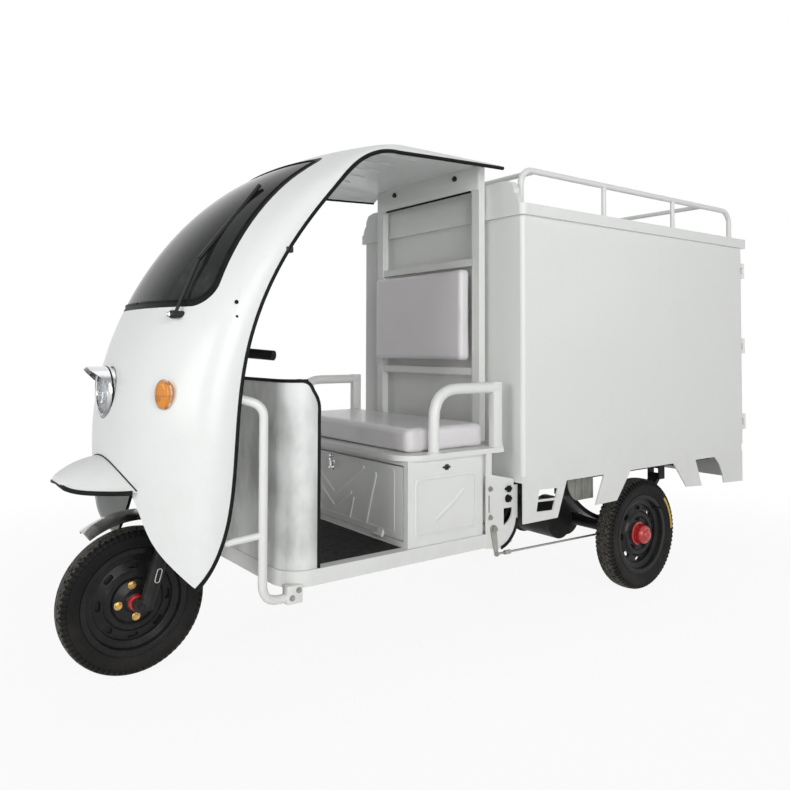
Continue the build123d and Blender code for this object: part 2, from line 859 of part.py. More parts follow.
tray_half = 478
tray_front = 732
tray_rear = 1184
arm_x = 459
arm_radius = 16
arm_top = 890
with BuildPart() as seat_tray:
    with BuildSketch(Plane.XY.offset(seat_top)) as tray:
        with Locations((0, at((tray_front + tray_rear) / 2))):
            Rectangle(2 * tray_half, tray_rear - tray_front)
        fillet(tray.vertices().group_by(Axis.Y)[0], 90)
    extrude(amount=tray_thickness)
    for side in (1, -1):
        with BuildLine() as arm:
            FilletPolyline(
                (side * arm_x, at(868), seat_top + tray_thickness - 1),
                (side * arm_x, at(868), arm_top),
                (side * arm_x, at(1166), arm_top),
                radius=90,
            )
        with BuildSketch(Plane(origin=arm.line @ 0, z_dir=arm.line % 0)):
            Circle(arm_radius)
        sweep()
        with BuildSketch(Plane.XY.offset(seat_top + tray_thickness)):
            with Locations((side * arm_x, at(1160))):
                Rectangle(26, 38)
        extrude(amount=arm_top + 14 - seat_top - tray_thickness)
save(seat_tray, "seat_tray")

cushion_half = 430
cushion_height = 84
with BuildPart() as seat_cushion:
    with BuildSketch(Plane.XY.offset(seat_top + tray_thickness + 0.3)) as pad:
        with Locations((0, at(965))):
            RectangleRounded(2 * cushion_half, 380, 30)
    extrude(amount=cushion_height)
    fillet(seat_cushion.faces().sort_by(Axis.Z)[-1].edges(), 18)
save(seat_cushion, "seat_cushion")

post_x = 315
post_front = 1196
post_depth = 30
post_width = 40
post_top = roof_z - shell_wall - 0.3
with BuildPart() as backrest_frame:
    for side in (1, -1):
        with BuildSketch(Plane.XY.offset(floor_z + 0.3)):
            with Locations((side * post_x, at(post_front + post_depth / 2))):
                Rectangle(post_width, post_depth)
        extrude(amount=post_top - floor_z - 0.3)
    for height in (940, 1365, 1660):
        with BuildSketch(Plane.XZ.offset(-at(post_front + 4))):
            with Locations((0, height)):
                Rectangle(2 * post_x, 28)
        extrude(amount=-post_depth + 8)
save(backrest_frame, "backrest_frame")

with BuildPart() as backrest_cushion:
    with BuildSketch(Plane.XZ.offset(-at(post_front - 0.3))):
        with Locations((0, 1160)):
            RectangleRounded(590, 370, 20)
    extrude(amount=50)
    fillet(backrest_cushion.faces().sort_by(Axis.Y)[0].edges(), 14)
save(backrest_cushion, "backrest_cushion")

with BuildPart() as battery_pack:
    with BuildSketch(Plane.XY.offset(rail_bottom + cross_height + 0.3)):
        with Locations((0, at(seat_box_front + seat_box_depth / 2))):
            Rectangle(720, 190)
    extrude(amount=170)
save(battery_pack, "battery_pack")

# ---- cargo box ----
box_rear = box_front + box_length
door_thickness = 20
door_clear = 6
wall_rear = box_rear - door_thickness - door_clear
deck_height = 3

with BuildPart() as box_floor:
    with BuildSketch(Plane.XY.offset(box_floor_z)):
        with Locations((0, at((box_front + wall_rear) / 2))):
            Rectangle(2 * box_half_width, wall_rear - box_front)
    extrude(amount=25)
    # raised deck between the walls
    with BuildSketch(Plane.XY.offset(box_floor_z + 25)):
        with Locations((0, at((box_front + box_wall + wall_rear) / 2))):
            Rectangle(2 * (box_half_width - box_wall) - 1, wall_rear - box_front - box_wall - 1)
    extrude(amount=deck_height)
save(box_floor, "box_floor")

frame_ceiling = box_floor_z - 0.3
hinge_heights = (660, 1030, 1400)
knuckle_radius = 7
pin_radius = 3.5
hinge_x = box_half_width - 3
hinge_y = at(box_rear + 6)

for label, side in sides.items():
    with BuildPart() as box_side:
        with BuildSketch(Plane.XY.offset(box_floor_z + 25)):
            with Locations((side * (box_half_width - box_wall / 2), at((box_front + box_wall + wall_rear) / 2))):
                Rectangle(box_wall, wall_rear - box_front - box_wall)
        extrude(amount=box_lip_z - box_floor_z - 25)
        for height in hinge_heights:
            for low in (height - 22, height + 30.5):
                with BuildSketch(Plane.XY.offset(low)):
                    with Locations((side * (box_half_width - 3), (at(wall_rear - 6) + hinge_y) / 2)):
                        Rectangle(6, hinge_y - at(wall_rear - 6))
                    with Locations((side * hinge_x, hinge_y)):
                        Circle(knuckle_radius)
                extrude(amount=21.5)
            with BuildSketch(Plane.XY.offset(height - 10)):
                with Locations((side * hinge_x, hinge_y)):
                    Circle(pin_radius)
            extrude(amount=50)
    save(box_side, f"box_side_{label}")

corner_round = 16
with BuildPart() as box_front_wall:
    with BuildSketch(Plane.XY.offset(box_floor_z + 25)):
        with Locations((0, at(box_front + box_wall / 2))):
            Rectangle(2 * box_half_width, box_wall)
    extrude(amount=box_lip_z - box_floor_z - 25)
    fillet(box_front_wall.edges().filter_by(Axis.Z).group_by(Axis.Y)[0], corner_round)
save(box_front_wall, "box_front_wall")

header_height = 95
with BuildPart() as box_roof:
    with BuildSketch(Plane.XY.offset(box_lip_z)):
        with Locations((0, at(box_front + box_length / 2))):
            RectangleRounded(
                2 * (box_half_width + lip_overhang), box_length + 2 * lip_overhang, 22
            )
    extrude(amount=cap_height)
    with BuildSketch(Plane.XZ.offset(-at(box_front - lip_overhang + 2))):
        with BuildLine():
            foot = box_lip_z + cap_height - 1
            crest = box_lip_z + cap_height + header_height
            left_curve = ThreePointArc((-508, foot), (-496, foot + 30), (-484, foot + 44))
            left_end = FilletPolyline(
                left_curve @ 1, (-484, foot + 62), (-466, crest - 8), (-430, crest), (0, crest), radius=8
            )
            Line(left_curve @ 0, (0, foot))
            mirror(about=Plane.YZ)
        make_face()
    extrude(amount=-28)
save(box_roof, "box_roof")

rack_z = 1715
rack_x = 455
rack_radius = 12
with BuildPart() as roof_rack:
    base = box_lip_z + cap_height - 1
    for side in (1, -1):
        with BuildLine() as rail:
            FilletPolyline(
                (side * rack_x, at(1300), base),
                (side * rack_x, at(1300), rack_z),
                (side * rack_x, at(2790), rack_z),
                (side * rack_x, at(2790), base),
                radius=60,
            )
        with BuildSketch(Plane(origin=rail.line @ 0, z_dir=rail.line % 0)):
            Circle(rack_radius)
        sweep()
    for station in (1800, 2300):
        for side in (1, -1):
            with BuildSketch(Plane.XY.offset(base)):
                with Locations((side * rack_x, at(station))):
                    Circle(rack_radius - 2)
            extrude(amount=rack_z - base)
    for station in (1380, 2550):
        with BuildSketch(Plane.YZ.offset(-rack_x)):
            with Locations((at(station), rack_z)):
                Circle(rack_radius - 2)
        extrude(amount=2 * rack_x)
    with BuildSketch(Plane.XY.offset(box_lip_z)):
        with Locations((0, at(2000))):
            Rectangle(4000, 4000)
    extrude(amount=cap_height + 0.3, mode=Mode.SUBTRACT)
save(roof_rack, "roof_rack")

door_half = box_half_width - 9
door_bottom = box_floor_z + 25 + 5
door_top = box_lip_z - 8
for label, side in sides.items():
    with BuildPart() as rear_door:
        with BuildSketch(Plane.XY.offset(door_bottom)):
            with Locations((side * (door_half + 3) / 2, at(box_rear - door_thickness / 2))):
                Rectangle(door_half - 3, door_thickness)
        extrude(amount=door_top - door_bottom)
        with BuildSketch(Plane.XY.offset(door_bottom + 10)):
            with Locations((side * 60, at(box_rear + 14))):
                Circle(9)
        extrude(amount=door_top - door_bottom - 20)
        with BuildSketch(Plane.XY.offset(900)):
            with Locations((side * 60, at(box_rear + 5))):
                Rectangle(40, 12)
        extrude(amount=60)
        for height in hinge_heights:
            with BuildSketch(Plane.XY.offset(height)):
                with Locations((side * (hinge_x - 24), at(box_rear + 2))):
                    Rectangle(48, 4)
                with Locations((side * hinge_x, hinge_y)):
                    Circle(knuckle_radius)
                    Circle(pin_radius + running_clearance, mode=Mode.SUBTRACT)
            extrude(amount=30)
            with BuildSketch(Plane.XY.offset(height)):
                with Locations((side * hinge_x, hinge_y)):
                    Circle(pin_radius + running_clearance)
            extrude(amount=30, mode=Mode.SUBTRACT)
    save(rear_door, f"rear_door_{label}")

# ---- skirts and rear mudguards ----
skirt_gauge = 6
skirt_strip = 12              # what runs on along the box's crease between the skirt's parts
skirt_end = box_rear - 20
strip_z = box_floor_z - skirt_strip
for label, side in sides.items():
    with BuildPart() as side_skirt:
        with BuildSketch(Plane.YZ.offset(side * (box_half_width - skirt_gauge))):
            with BuildLine():
                Polyline(
                    (at(box_front), box_floor_z),
                    (at(box_front), 388),
                    (at(1435), 388),
                    (at(1488), strip_z),
                    (at(1716), strip_z),
                    (at(1663), 407),
                    (at(1798), 409),
                    (at(1892), strip_z),
                    (at(2204), strip_z),
                    (at(2303), 409),
                    (at(2428), 401),
                    (at(2376), strip_z),
                    (at(2540), strip_z),
                    (at(2578), 488),
                    (at(2608), 436),
                    (at(2617), 394),
                    (at(skirt_end), 386),
                    (at(skirt_end), box_floor_z),
                    close=True,
                )
            make_face()
            # vent window with a bar across it
            with BuildLine():
                Polyline(
                    (at(1334), 504), (at(1437), 500), (at(1408), 420), (at(1318), 424), close=True
                )
            make_face(mode=Mode.SUBTRACT)
            with Locations((at(1374), 462)):
                Rectangle(110, 8, rotation=-2)
        extrude(amount=side * skirt_gauge)
    save(side_skirt, f"side_skirt_{label}")

guard_plate_x = box_half_width - 48
for label, side in sides.items():
    with BuildPart() as rear_mudguard:
        with BuildSketch(Plane.YZ.offset(side * guard_plate_x)):
            with BuildLine():
                edge = ThreePointArc((at(1556), frame_ceiling), (at(1560), 465), (at(1602), 424))
                Polyline(edge @ 1, (at(1706), 424), (at(1706), frame_ceiling), edge @ 0)
            make_face()
        extrude(amount=-side * 3)
        for station in (1600, 1640, 1680):
            with BuildSketch(Plane.XY.offset(432)):
                with Locations((side * guard_plate_x, at(station))):
                    Circle(7)
            extrude(amount=frame_ceiling - 432)
        with BuildSketch(Plane.XY.offset(frame_ceiling)):
            with Locations((side * (guard_plate_x - 14), at(1640))):
                Rectangle(28, 132)
        extrude(amount=-3)
    save(rear_mudguard, f"rear_mudguard_{label}")

# ---- rear chassis, axle and springs ----
frame_x = 330
frame_width = 40
frame_height = 60
frame_top = frame_ceiling
frame_front = 1254
bumper_station = skirt_end - 6
rails_end = bumper_station - 0.3
spring_reach = 330
spring_eye_z = 440
spring_width = 50
with BuildPart() as chassis_frame:
    for side in (1, -1):
        with BuildSketch(Plane.XY.offset(frame_top)):
            with Locations((side * frame_x, at((frame_front + rails_end) / 2))):
                Rectangle(frame_width, rails_end - frame_front)
        extrude(amount=-frame_height)
        for eye in (axle_r - spring_reach, axle_r + spring_reach):
            with BuildSketch(Plane.XY.offset(frame_top)):
                with Locations((side * frame_x, eye)):
                    with GridLocations(spring_width + 6.6, 0, 2, 1):
                        Rectangle(6, 44)
            extrude(amount=spring_eye_z - 22 - frame_top)
            with BuildSketch(Plane.YZ.offset(side * frame_x - spring_width / 2 - 3)):
                with Locations((eye, frame_top - frame_height)):
                    Rectangle(44, 12)
            extrude(amount=spring_width + 6)
    for station in (1272, 1526, 2300, 2750):
        with BuildSketch(Plane.XY.offset(frame_top)):
            with Locations((0, at(station))):
                Rectangle(2 * floor_half_width, 36)
        extrude(amount=-36)
save(chassis_frame, "chassis_frame")

axle_tube_radius = 28
housing_radius = 82
motor_radius = 80
motor_lift = 22
motor_inner_x = -40
motor_reach = sqrt((motor_radius + housing_radius + 3) ** 2 - motor_lift**2)
spring_pad = 8
spring_height = 18
brake_arm = 58
brake_arm_x = rear_track / 2 - 76
with BuildPart() as rear_axle:
    with BuildSketch(Plane.YZ.offset(-rear_track / 2 + 44)):
        with Locations((axle_r, rear_tyre_radius)):
            Circle(axle_tube_radius)
    extrude(amount=rear_track - 88)
    with BuildSketch(Plane.YZ.offset(-rear_track / 2 - 30)):
        with Locations((axle_r, rear_tyre_radius)):
            Circle(shaft_radius)
    extrude(amount=rear_track + 60)
    with BuildSketch(Plane.YZ.offset(-75)):
        with Locations((axle_r, rear_tyre_radius)):
            Circle(housing_radius)
    extrude(amount=150)
    with BuildSketch(Plane.YZ.offset(motor_inner_x - 12)):
        with Locations((axle_r, rear_tyre_radius)):
            Circle(60)
        with Locations((axle_r - motor_reach, rear_tyre_radius + motor_lift)):
            Circle(motor_radius + 8)
        make_hull()
    extrude(amount=12)
    for side in (1, -1):
        with BuildSketch(Plane.YZ.offset(side * (rear_track / 2 - 44))):
            with Locations((axle_r, rear_tyre_radius)):
                Circle(70)
        extrude(amount=-side * 6)
        with BuildSketch(Plane.YZ.offset(side * (rear_track / 2 - 44))):
            with Locations((axle_r - brake_arm, rear_tyre_radius)):
                Circle(8)
        extrude(amount=-side * 38)
        with BuildSketch(Plane.XY.offset(rear_tyre_radius)):
            with Locations((side * frame_x, axle_r)):
                Rectangle(spring_width + 6, 90)
        extrude(amount=axle_tube_radius + spring_pad)
save(rear_axle, "rear_axle")

with BuildPart() as drive_motor:
    with BuildSketch(Plane.YZ.offset(motor_inner_x)):
        with Locations((axle_r - motor_reach, rear_tyre_radius + motor_lift)):
            Circle(motor_radius)
    extrude(amount=210)
save(drive_motor, "drive_motor")

spring_z = rear_tyre_radius + axle_tube_radius + spring_pad + spring_height / 2 + 0.3
for label, side in sides.items():
    with BuildPart() as leaf_spring:
        with BuildLine(Plane.YZ.offset(side * frame_x)) as leaf:
            ThreePointArc((axle_r - spring_reach, spring_eye_z), (axle_r, spring_z), (axle_r + spring_reach, spring_eye_z))
        with BuildSketch(Plane(origin=leaf.line @ 0, x_dir=(1, 0, 0), z_dir=leaf.line % 0)):
            Rectangle(spring_width, spring_height)
        sweep()
    save(leaf_spring, f"leaf_spring_{label}")

# ---- side brackets that lift the frame from the cab floor to the box ----
bracket_gauge = 6
for label, side in sides.items():
    with BuildPart() as side_bracket:
        with BuildSketch(Plane.YZ.offset(side * floor_half_width)):
            with BuildLine():
                belly = ThreePointArc((at(1262), 398), (at(1232), 338), (at(1178), rail_bottom - 12))
                Polyline(
                    belly @ 1,
                    (at(1104), rail_bottom - 2),
                    (at(1104), seat_top - 0.3),
                    (at(1130), seat_top - 0.3),
                    (at(1130), 574),
                    (at(1242), 548),
                    (at(1242), 526),
                    (at(1262), 526),
                    belly @ 0,
                )
            make_face()
            with Locations((at(1212), 516)):
                SlotOverall(34, 10, mode=Mode.SUBTRACT)
                Circle(9, mode=Mode.SUBTRACT)
            with Locations((at(1212), 480)):
                Circle(15, mode=Mode.SUBTRACT)
            with BuildLine():
                curve = ThreePointArc((at(1236), 446), (at(1222), 404), (at(1190), 384))
                Polyline(curve @ 1, (at(1190), 446), curve @ 0)
            make_face(mode=Mode.SUBTRACT)
            with Locations((at(1117), 470)):
                SlotOverall(64, 7, rotation=90, mode=Mode.SUBTRACT)
        extrude(amount=side * bracket_gauge)
        for height in (500 + 26, 424):
            with BuildSketch(Plane.YZ.offset(side * (floor_half_width + bracket_gauge))):
                with Locations((at(1117), height)):
                    RegularPolygon(9, 6)
            extrude(amount=side * 6)
    save(side_bracket, f"side_bracket_{label}")

# ---- brake rods ----
for label, side in sides.items():
    lever_x = side * (floor_half_width + 9)
    with BuildPart() as brake_rod:
        with BuildSketch(Plane.YZ.offset(side * (floor_half_width + 6.3))):
            with Locations((at(1135), 380)):
                Circle(14)
            with Locations((at(1150), 288)):
                Circle(9)
            make_hull()
        extrude(amount=side * 5)
        rod_start = Vector(lever_x, at(1150), 288)
        rod_end = Vector(side * brake_arm_x, axle_r - brake_arm, rear_tyre_radius)
        with BuildSketch(Plane(origin=rod_start, z_dir=rod_end - rod_start)):
            Circle(4)
        extrude(amount=(rod_end - rod_start).length - 9)
        with BuildSketch(Plane(origin=rod_start, z_dir=rod_end - rod_start).offset(46)):
            RegularPolygon(8, 6)
        extrude(amount=34)
    save(brake_rod, f"brake_rod_{label}")

# ---- tail ----
with BuildPart() as rear_bumper:
    with BuildSketch(Plane.XZ.offset(-at(bumper_station))):
        with Locations((0, 462)):
            Rectangle(2 * (box_half_width - skirt_gauge - 0.3), 130)
        with Locations((0, 462)):
            with GridLocations(150, 10, 2, 1):
                Circle(3.5, mode=Mode.SUBTRACT)
    extrude(amount=-5)
save(rear_bumper, "rear_bumper")

for label, side in sides.items():
    with BuildPart() as tail_lamp:
        with BuildSketch(Plane.XZ.offset(-at(bumper_station + 5))):
            with Locations((side * 410, 462)):
                RectangleRounded(150, 62, 14)
        extrude(amount=-26)
    save(tail_lamp, f"tail_lamp_{label}")
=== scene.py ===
import json
from math import atan2, cos, pi, radians, sin, sqrt

import bpy
from mathutils import Matrix, Vector


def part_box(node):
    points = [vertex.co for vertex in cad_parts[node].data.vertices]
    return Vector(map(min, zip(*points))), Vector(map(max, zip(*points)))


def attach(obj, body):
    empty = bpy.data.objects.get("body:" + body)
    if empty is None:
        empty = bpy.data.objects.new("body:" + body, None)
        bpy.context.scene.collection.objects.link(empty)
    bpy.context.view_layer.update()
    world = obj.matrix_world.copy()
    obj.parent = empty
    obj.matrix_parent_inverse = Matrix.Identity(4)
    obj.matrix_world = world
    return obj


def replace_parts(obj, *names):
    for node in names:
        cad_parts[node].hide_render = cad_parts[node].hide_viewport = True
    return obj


bl_info = {
    "name": "Cargo tricycle dressing",
    "version": (1, 0, 0),
    "blender": (4, 5, 0),
    "location": "3D View > Sidebar > Tricycle",
    "description": "Finishes, trims, tyres and cushions for an electric cargo tricycle",
    "category": "Object",
}

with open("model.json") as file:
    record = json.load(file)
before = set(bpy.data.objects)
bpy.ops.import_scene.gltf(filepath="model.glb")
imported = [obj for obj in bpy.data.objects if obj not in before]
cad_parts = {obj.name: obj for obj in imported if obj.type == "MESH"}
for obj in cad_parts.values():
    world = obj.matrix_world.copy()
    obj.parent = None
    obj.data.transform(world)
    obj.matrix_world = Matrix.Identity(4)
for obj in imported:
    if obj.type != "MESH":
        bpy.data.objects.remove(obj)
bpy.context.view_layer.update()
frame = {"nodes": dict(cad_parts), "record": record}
NODES = frame["nodes"]
RECORD = frame["record"]
SLOTS = {part["node"]: part["material_slot"] for part in RECORD["subparts"]}
BODY = {node: body for body, nodes in RECORD["behaviour"]["bodies"].items() for node in nodes}
JOINTS = {joint["name"]: joint for joint in RECORD["behaviour"]["joints"]}
MOUNTS = {mount["name"]: mount for mount in RECORD["mounts"]}
SIDES = (("left", 1), ("right", -1))
WHEELS = {"front": "front_tyre", "left": "rear_tyre_left", "right": "rear_tyre_right"}
FRONT_AXLE = Vector(JOINTS["front_wheel_spin"]["pos_m"])
REAR_AXLE = Vector(JOINTS["rear_wheel_left_spin"]["pos_m"])
RAKE = atan2(*JOINTS["steering"]["axis"][1:])
SIGNAL_TURN = radians(29.5)
TYRE_BEAD = 0.152
CLOTH_STEPS = 20


def middle(node):
    """The centre of a CAD node's box."""
    low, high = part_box(node)
    return (low + high) / 2


def outermost(node):
    """How far a CAD node reaches from the vehicle's centre plane."""
    low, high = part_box(node)
    return max(abs(low.x), abs(high.x))


# ---------------------------------------------------------------- shader maths
def maths(operation, swapped=False):
    """A method that puts a Math node between a signal and another signal or number."""

    def method(self, other=0.0):
        first, second = (other, self) if swapped else (self, other)
        return self.finish.node("ShaderNodeMath", {"operation": operation}, {0: first, 1: second})

    return method


class Signal:
    """A shader socket that adds Math nodes when it is used in an expression."""

    def __init__(self, finish, socket):
        self.finish = finish
        self.socket = socket

    __add__, __radd__ = maths("ADD"), maths("ADD", True)
    __sub__, __rsub__ = maths("SUBTRACT"), maths("SUBTRACT", True)
    __mul__, __rmul__ = maths("MULTIPLY"), maths("MULTIPLY", True)
    __gt__, __lt__ = maths("GREATER_THAN"), maths("LESS_THAN")
    __pow__, __abs__ = maths("POWER"), maths("ABSOLUTE")
    largest, smallest = maths("MAXIMUM"), maths("MINIMUM")
    root, sine, angle = maths("SQRT"), maths("SINE"), maths("ARCTAN2")

    def span(self, low, high, start=0.0, end=1.0):
        """Eases from start to end while the signal goes from low to high."""
        inputs = {0: self, 1: low, 2: high, 3: start, 4: end}
        return self.finish.node("ShaderNodeMapRange", {"interpolation_type": "SMOOTHSTEP"}, inputs)

    def blend(self, first, second):
        """Mixes two colours, with the signal as the share of the second."""
        inputs = {0: self, 6: first, 7: second}
        return self.finish.node("ShaderNodeMix", {"data_type": "RGBA"}, inputs, out=2)

    def bump(self, depth, strength, under=None):
        """Raises the surface by the signal, on top of the bump under it."""
        inputs = {"Height": self, "Distance": depth, "Strength": strength}
        if under:
            inputs["Normal"] = under
        return self.finish.node("ShaderNodeBump", None, inputs)


class Finish:
    """A material or a world, its shader and the nodes that feed it."""

    SOCKETS = {
        "colour": "Base Color", "rough": "Roughness", "metal": "Metallic", "alpha": "Alpha", "ior": "IOR",
        "coat": "Coat Weight", "coat_rough": "Coat Roughness", "gloss": "Specular IOR Level",
        "sheen": "Sheen Weight", "glow": "Emission Color", "glow_strength": "Emission Strength", "normal": "Normal",
    }

    def __init__(self, owner):
        owner.use_nodes = True
        self.owner = owner
        self.tree = owner.node_tree
        self.shader = next(n for n in self.tree.nodes if n.type in ("BSDF_PRINCIPLED", "BACKGROUND"))
        self.place = self.node("ShaderNodeTexCoord", out="Object")

    def node(self, kind, settings=None, inputs=None, out=0):
        made = self.tree.nodes.new(kind)
        for key, value in (settings or {}).items():
            setattr(made, key, value)
        for key, value in (inputs or {}).items():
            self.join(made.inputs[key], value)
        return Signal(self, made.outputs[out])

    def join(self, socket, value):
        if isinstance(value, Signal):
            self.tree.links.new(value.socket, socket)
        else:
            socket.default_value = (*value, 1.0) if socket.type == "RGBA" else value

    def set(self, **values):
        for key, value in values.items():
            self.join(self.shader.inputs[self.SOCKETS[key]], value)

    def colour_now(self):
        """The signal that feeds the shader's colour so far."""
        return Signal(self, self.shader.inputs["Base Color"].links[0].from_socket)

    def grain(self, scale, detail=2.0, rough=0.5, where=None, kind="FBM"):
        inputs = {"Vector": where or self.place, "Scale": scale, "Detail": detail, "Roughness": rough}
        return self.node("ShaderNodeTexNoise", {"noise_type": kind}, inputs)

    def cells(self, scale):
        return self.node("ShaderNodeTexVoronoi", None, {"Vector": self.place, "Scale": scale}, out="Distance")

    def stretch(self, scale, turn=(0.0, 0.0, 0.0)):
        return self.node("ShaderNodeMapping", None, {"Vector": self.place, "Scale": scale, "Rotation": turn})

    def axes(self, vector=None):
        split = self.node("ShaderNodeSeparateXYZ", None, {0: vector or self.place}).socket.node
        return [Signal(self, socket) for socket in split.outputs]

    def facing(self):
        return self.axes(self.node("ShaderNodeNewGeometry", out="Normal"))

    def show_white(self, kind, share):
        """Shows plain white in place of the shader, where the camera, a mirror or a pane of glass looks at it."""
        rays = [self.node("ShaderNodeLightPath", out=f"Is {ray} Ray") for ray in ("Camera", "Glossy", "Transmission")]
        seen = rays[0].largest(rays[1]).largest(rays[2])
        plain = Signal(self, self.shader.outputs[0])
        white = self.node(kind, None, {"Color": (1.0, 1.0, 1.0), "Strength": 1.0})
        mixed = self.node("ShaderNodeMixShader", None, {0: share * seen, 1: plain, 2: white})
        output = next(n for n in self.tree.nodes if n.type.startswith("OUTPUT"))
        self.join(output.inputs["Surface"], mixed)


def shade(colour, amount):
    return tuple(min(max(c * amount, 0.0), 1.0) for c in colour)


def road_dust(finish, low, high):
    """How much dust lies on a surface: more near the road, more on what faces up."""
    near = finish.axes()[2].span(low, high, 1.0, 0.0)
    patches = finish.grain(7.0, 5.0, 0.65).span(0.38, 0.72)
    return near * (0.35 + 0.65 * patches) * (0.6 + 0.4 * finish.facing()[2].span(-0.1, 0.9))


# ---------------------------------------------------------------- finishes, each named for its slot
def shell_white(finish, look):
    """Gel-coated shell: long soft waves, sharper pulls and a little road film."""
    base = tuple(look.shell_colour)
    film = road_dust(finish, 0.35, 1.25) * 0.30
    mottled = (finish.grain(2.6, 4.0, 0.6) * 0.5).blend(base, shade(base, 0.955))
    along = finish.stretch((1.0, 1.4, 2.4), (0.5, 0.2, 0.0))
    pulls = finish.grain(2.6, 2.0, 0.5, along, "RIDGED_MULTIFRACTAL").span(0.85, 1.5)
    finish.set(
        colour=film.blend(mottled, (0.60, 0.585, 0.55)),
        rough=finish.grain(34.0, 4.0, 0.6).span(0.3, 0.75, 0.30, 0.42) + film * 0.5,
        coat=0.16 - film * 0.4, coat_rough=0.14, gloss=0.36,
        normal=pulls.bump(0.0026, 0.5, finish.grain(5.0, 1.0, 0.4).bump(0.0022, 0.5)))


def shield_white(finish, look):
    """The leg shield: the cab's white, greyed in large patches partly by grime from hands and boots and partly by
    painted shade, with rain drips.
    """
    shell_white(finish, look)
    # the grey patches are partly painted shade that darkens the shield, partly grime; the drips are rain streaks
    smudge = finish.grain(4.5, 4.0, 0.55, finish.stretch((1.0, 1.0, 0.6))).span(0.34, 0.66)
    drips = finish.grain(1.0, 3.0, 0.6, finish.stretch((38.0, 38.0, 3.0))).span(0.5, 0.75)
    finish.set(colour=(smudge * 0.70 + drips * 0.15).blend(finish.colour_now(), (0.27, 0.27, 0.255)))


def white_paint(finish, look):
    """Stoved paint on sheet steel: shallow oil-canning, faint streaks, grime low down."""
    base = tuple(look.paint_colour)
    film = road_dust(finish, 0.25, 0.85) * 0.36
    streaks = finish.grain(1.0, 4.0, 0.6, finish.stretch((26.0, 26.0, 2.2))).span(0.56, 0.78) * 0.05
    colour = (finish.grain(1.9, 3.0) * 0.5).blend(base, shade(base, 0.95))
    finish.set(
        colour=film.blend(streaks.blend(colour, (0.52, 0.50, 0.46)), (0.50, 0.485, 0.45)),
        rough=finish.grain(22.0, 3.0).span(0.3, 0.7, 0.30, 0.42) + film * 0.4,
        coat=0.16 - film * 0.3, coat_rough=0.18, gloss=0.4, normal=finish.grain(3.2, 1.0, 0.3).bump(0.0042, 0.55))


def tinted_glass(finish, look):
    """Dark laminated glass: dusty low down, faint ripple."""
    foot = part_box("windscreen")[0].z
    low_down = finish.axes()[2].span(foot - 0.012, foot + 0.168, 1.0, 0.15)
    dust = finish.grain(9.0, 5.0, 0.7).span(0.42, 0.8) * low_down * 0.35
    finish.set(
        colour=dust.blend((0.006, 0.008, 0.008), (0.16, 0.16, 0.15)), rough=0.035 + dust * 0.4,
        alpha=0.90 + dust * 0.1, gloss=0.30, ior=1.32, normal=finish.grain(6.0, 1.0).bump(0.0012, 0.35))


def black_rubber(finish, look):
    """Extruded rubber: chalky bloom, fine pits."""
    bloom = finish.grain(38.0, 5.0, 0.7).span(0.4, 0.8)
    finish.set(
        colour=(bloom * 0.4).blend((0.010, 0.010, 0.011), (0.036, 0.035, 0.034)),
        rough=bloom.span(0.0, 1.0, 0.42, 0.66), gloss=0.10, ior=1.40,
        normal=finish.grain(650.0, 2.0, 0.6).bump(0.00018, 0.6))


def black_plastic(finish, look):
    """Moulded plastic with a spark-eroded grain."""
    scuffs = finish.grain(60.0, 6.0, 0.7).span(0.55, 0.75)
    finish.set(
        colour=(scuffs * 0.4).blend((0.012, 0.012, 0.013), (0.05, 0.05, 0.05)),
        rough=scuffs.span(0.0, 1.0, 0.34, 0.55), gloss=0.3, normal=finish.cells(900.0).bump(0.00016, 0.6))


def chrome(finish, look):
    """Plated brass: painted reflections, as dark bands where it faces the ground and the rear, and wiped smears."""
    _, front, up = finish.facing()
    smear = finish.grain(1.0, 4.0, 0.6, finish.stretch((60.0, 60.0, 14.0)))
    pits = finish.cells(520.0).span(0.0, 0.06, 1.0, 0.0)
    # painted reflection: the colour darkens where the surface faces down, along a band half way up and where it faces
    # the rear
    low = (up + (smear - 0.5) * 0.25).span(-0.55, 0.05, 1.0, 0.0)
    painted_reflection_band = abs(up - 0.52 + (smear - 0.5) * 0.2).span(0.04, 0.20, 1.0, 0.0)
    painted_dark_reflection = (low * 0.75).largest(painted_reflection_band * 0.62).largest(front.span(0.05, 0.6) * 0.5)
    colour = painted_dark_reflection.blend((0.74, 0.75, 0.76), (0.10, 0.10, 0.105))
    finish.set(
        colour=(pits * 0.6).blend(colour, (0.30, 0.28, 0.26)), metal=1.0,
        rough=smear.span(0.35, 0.75, 0.05, 0.18) + pits * 0.3, normal=pits.bump(0.0001, 0.3))


def mirror(finish, look):
    """Vacuum-plated lamp bowl with shallow pressed facets and painted shade in the troughs between them."""
    facets = (finish.axes()[0] * 420.0).sine()
    tone = finish.grain(26.0, 2.0).span(0.35, 0.7)
    colour = tone.blend((0.55, 0.57, 0.58), (0.24, 0.26, 0.28))
    # painted shade: the colour darkens in each facet's trough
    finish.set(
        colour=facets.span(-0.9, -0.3, 0.7, 0.0).blend(colour, (0.06, 0.065, 0.07)), metal=0.95,
        rough=0.10 + 0.10 * tone, normal=facets.bump(0.0012, 0.7))


def bulb_glass(finish, look):
    """Bulb with a frosted nose and a soldered base."""
    frost = finish.grain(120.0, 3.0)
    finish.set(
        colour=frost.blend((0.80, 0.78, 0.70), (0.55, 0.54, 0.50)), rough=0.12 + 0.2 * frost,
        coat=0.6, coat_rough=0.05, normal=frost.bump(0.0002, 0.3))


def amber_shadow(finish, look):
    """Painted shadow: a dark amber rim where a lens is glued into its seat, greyed by grime."""
    grime = finish.grain(70.0, 4.0).span(0.35, 0.7)
    # painted shadow: the rim's dark amber stands for shade round the lens
    finish.set(
        colour=grime.blend((0.30, 0.085, 0.01), (0.62, 0.60, 0.56)), rough=0.30 + 0.25 * grime,
        coat=0.4, coat_rough=0.1, normal=grime.bump(0.0003, 0.4))


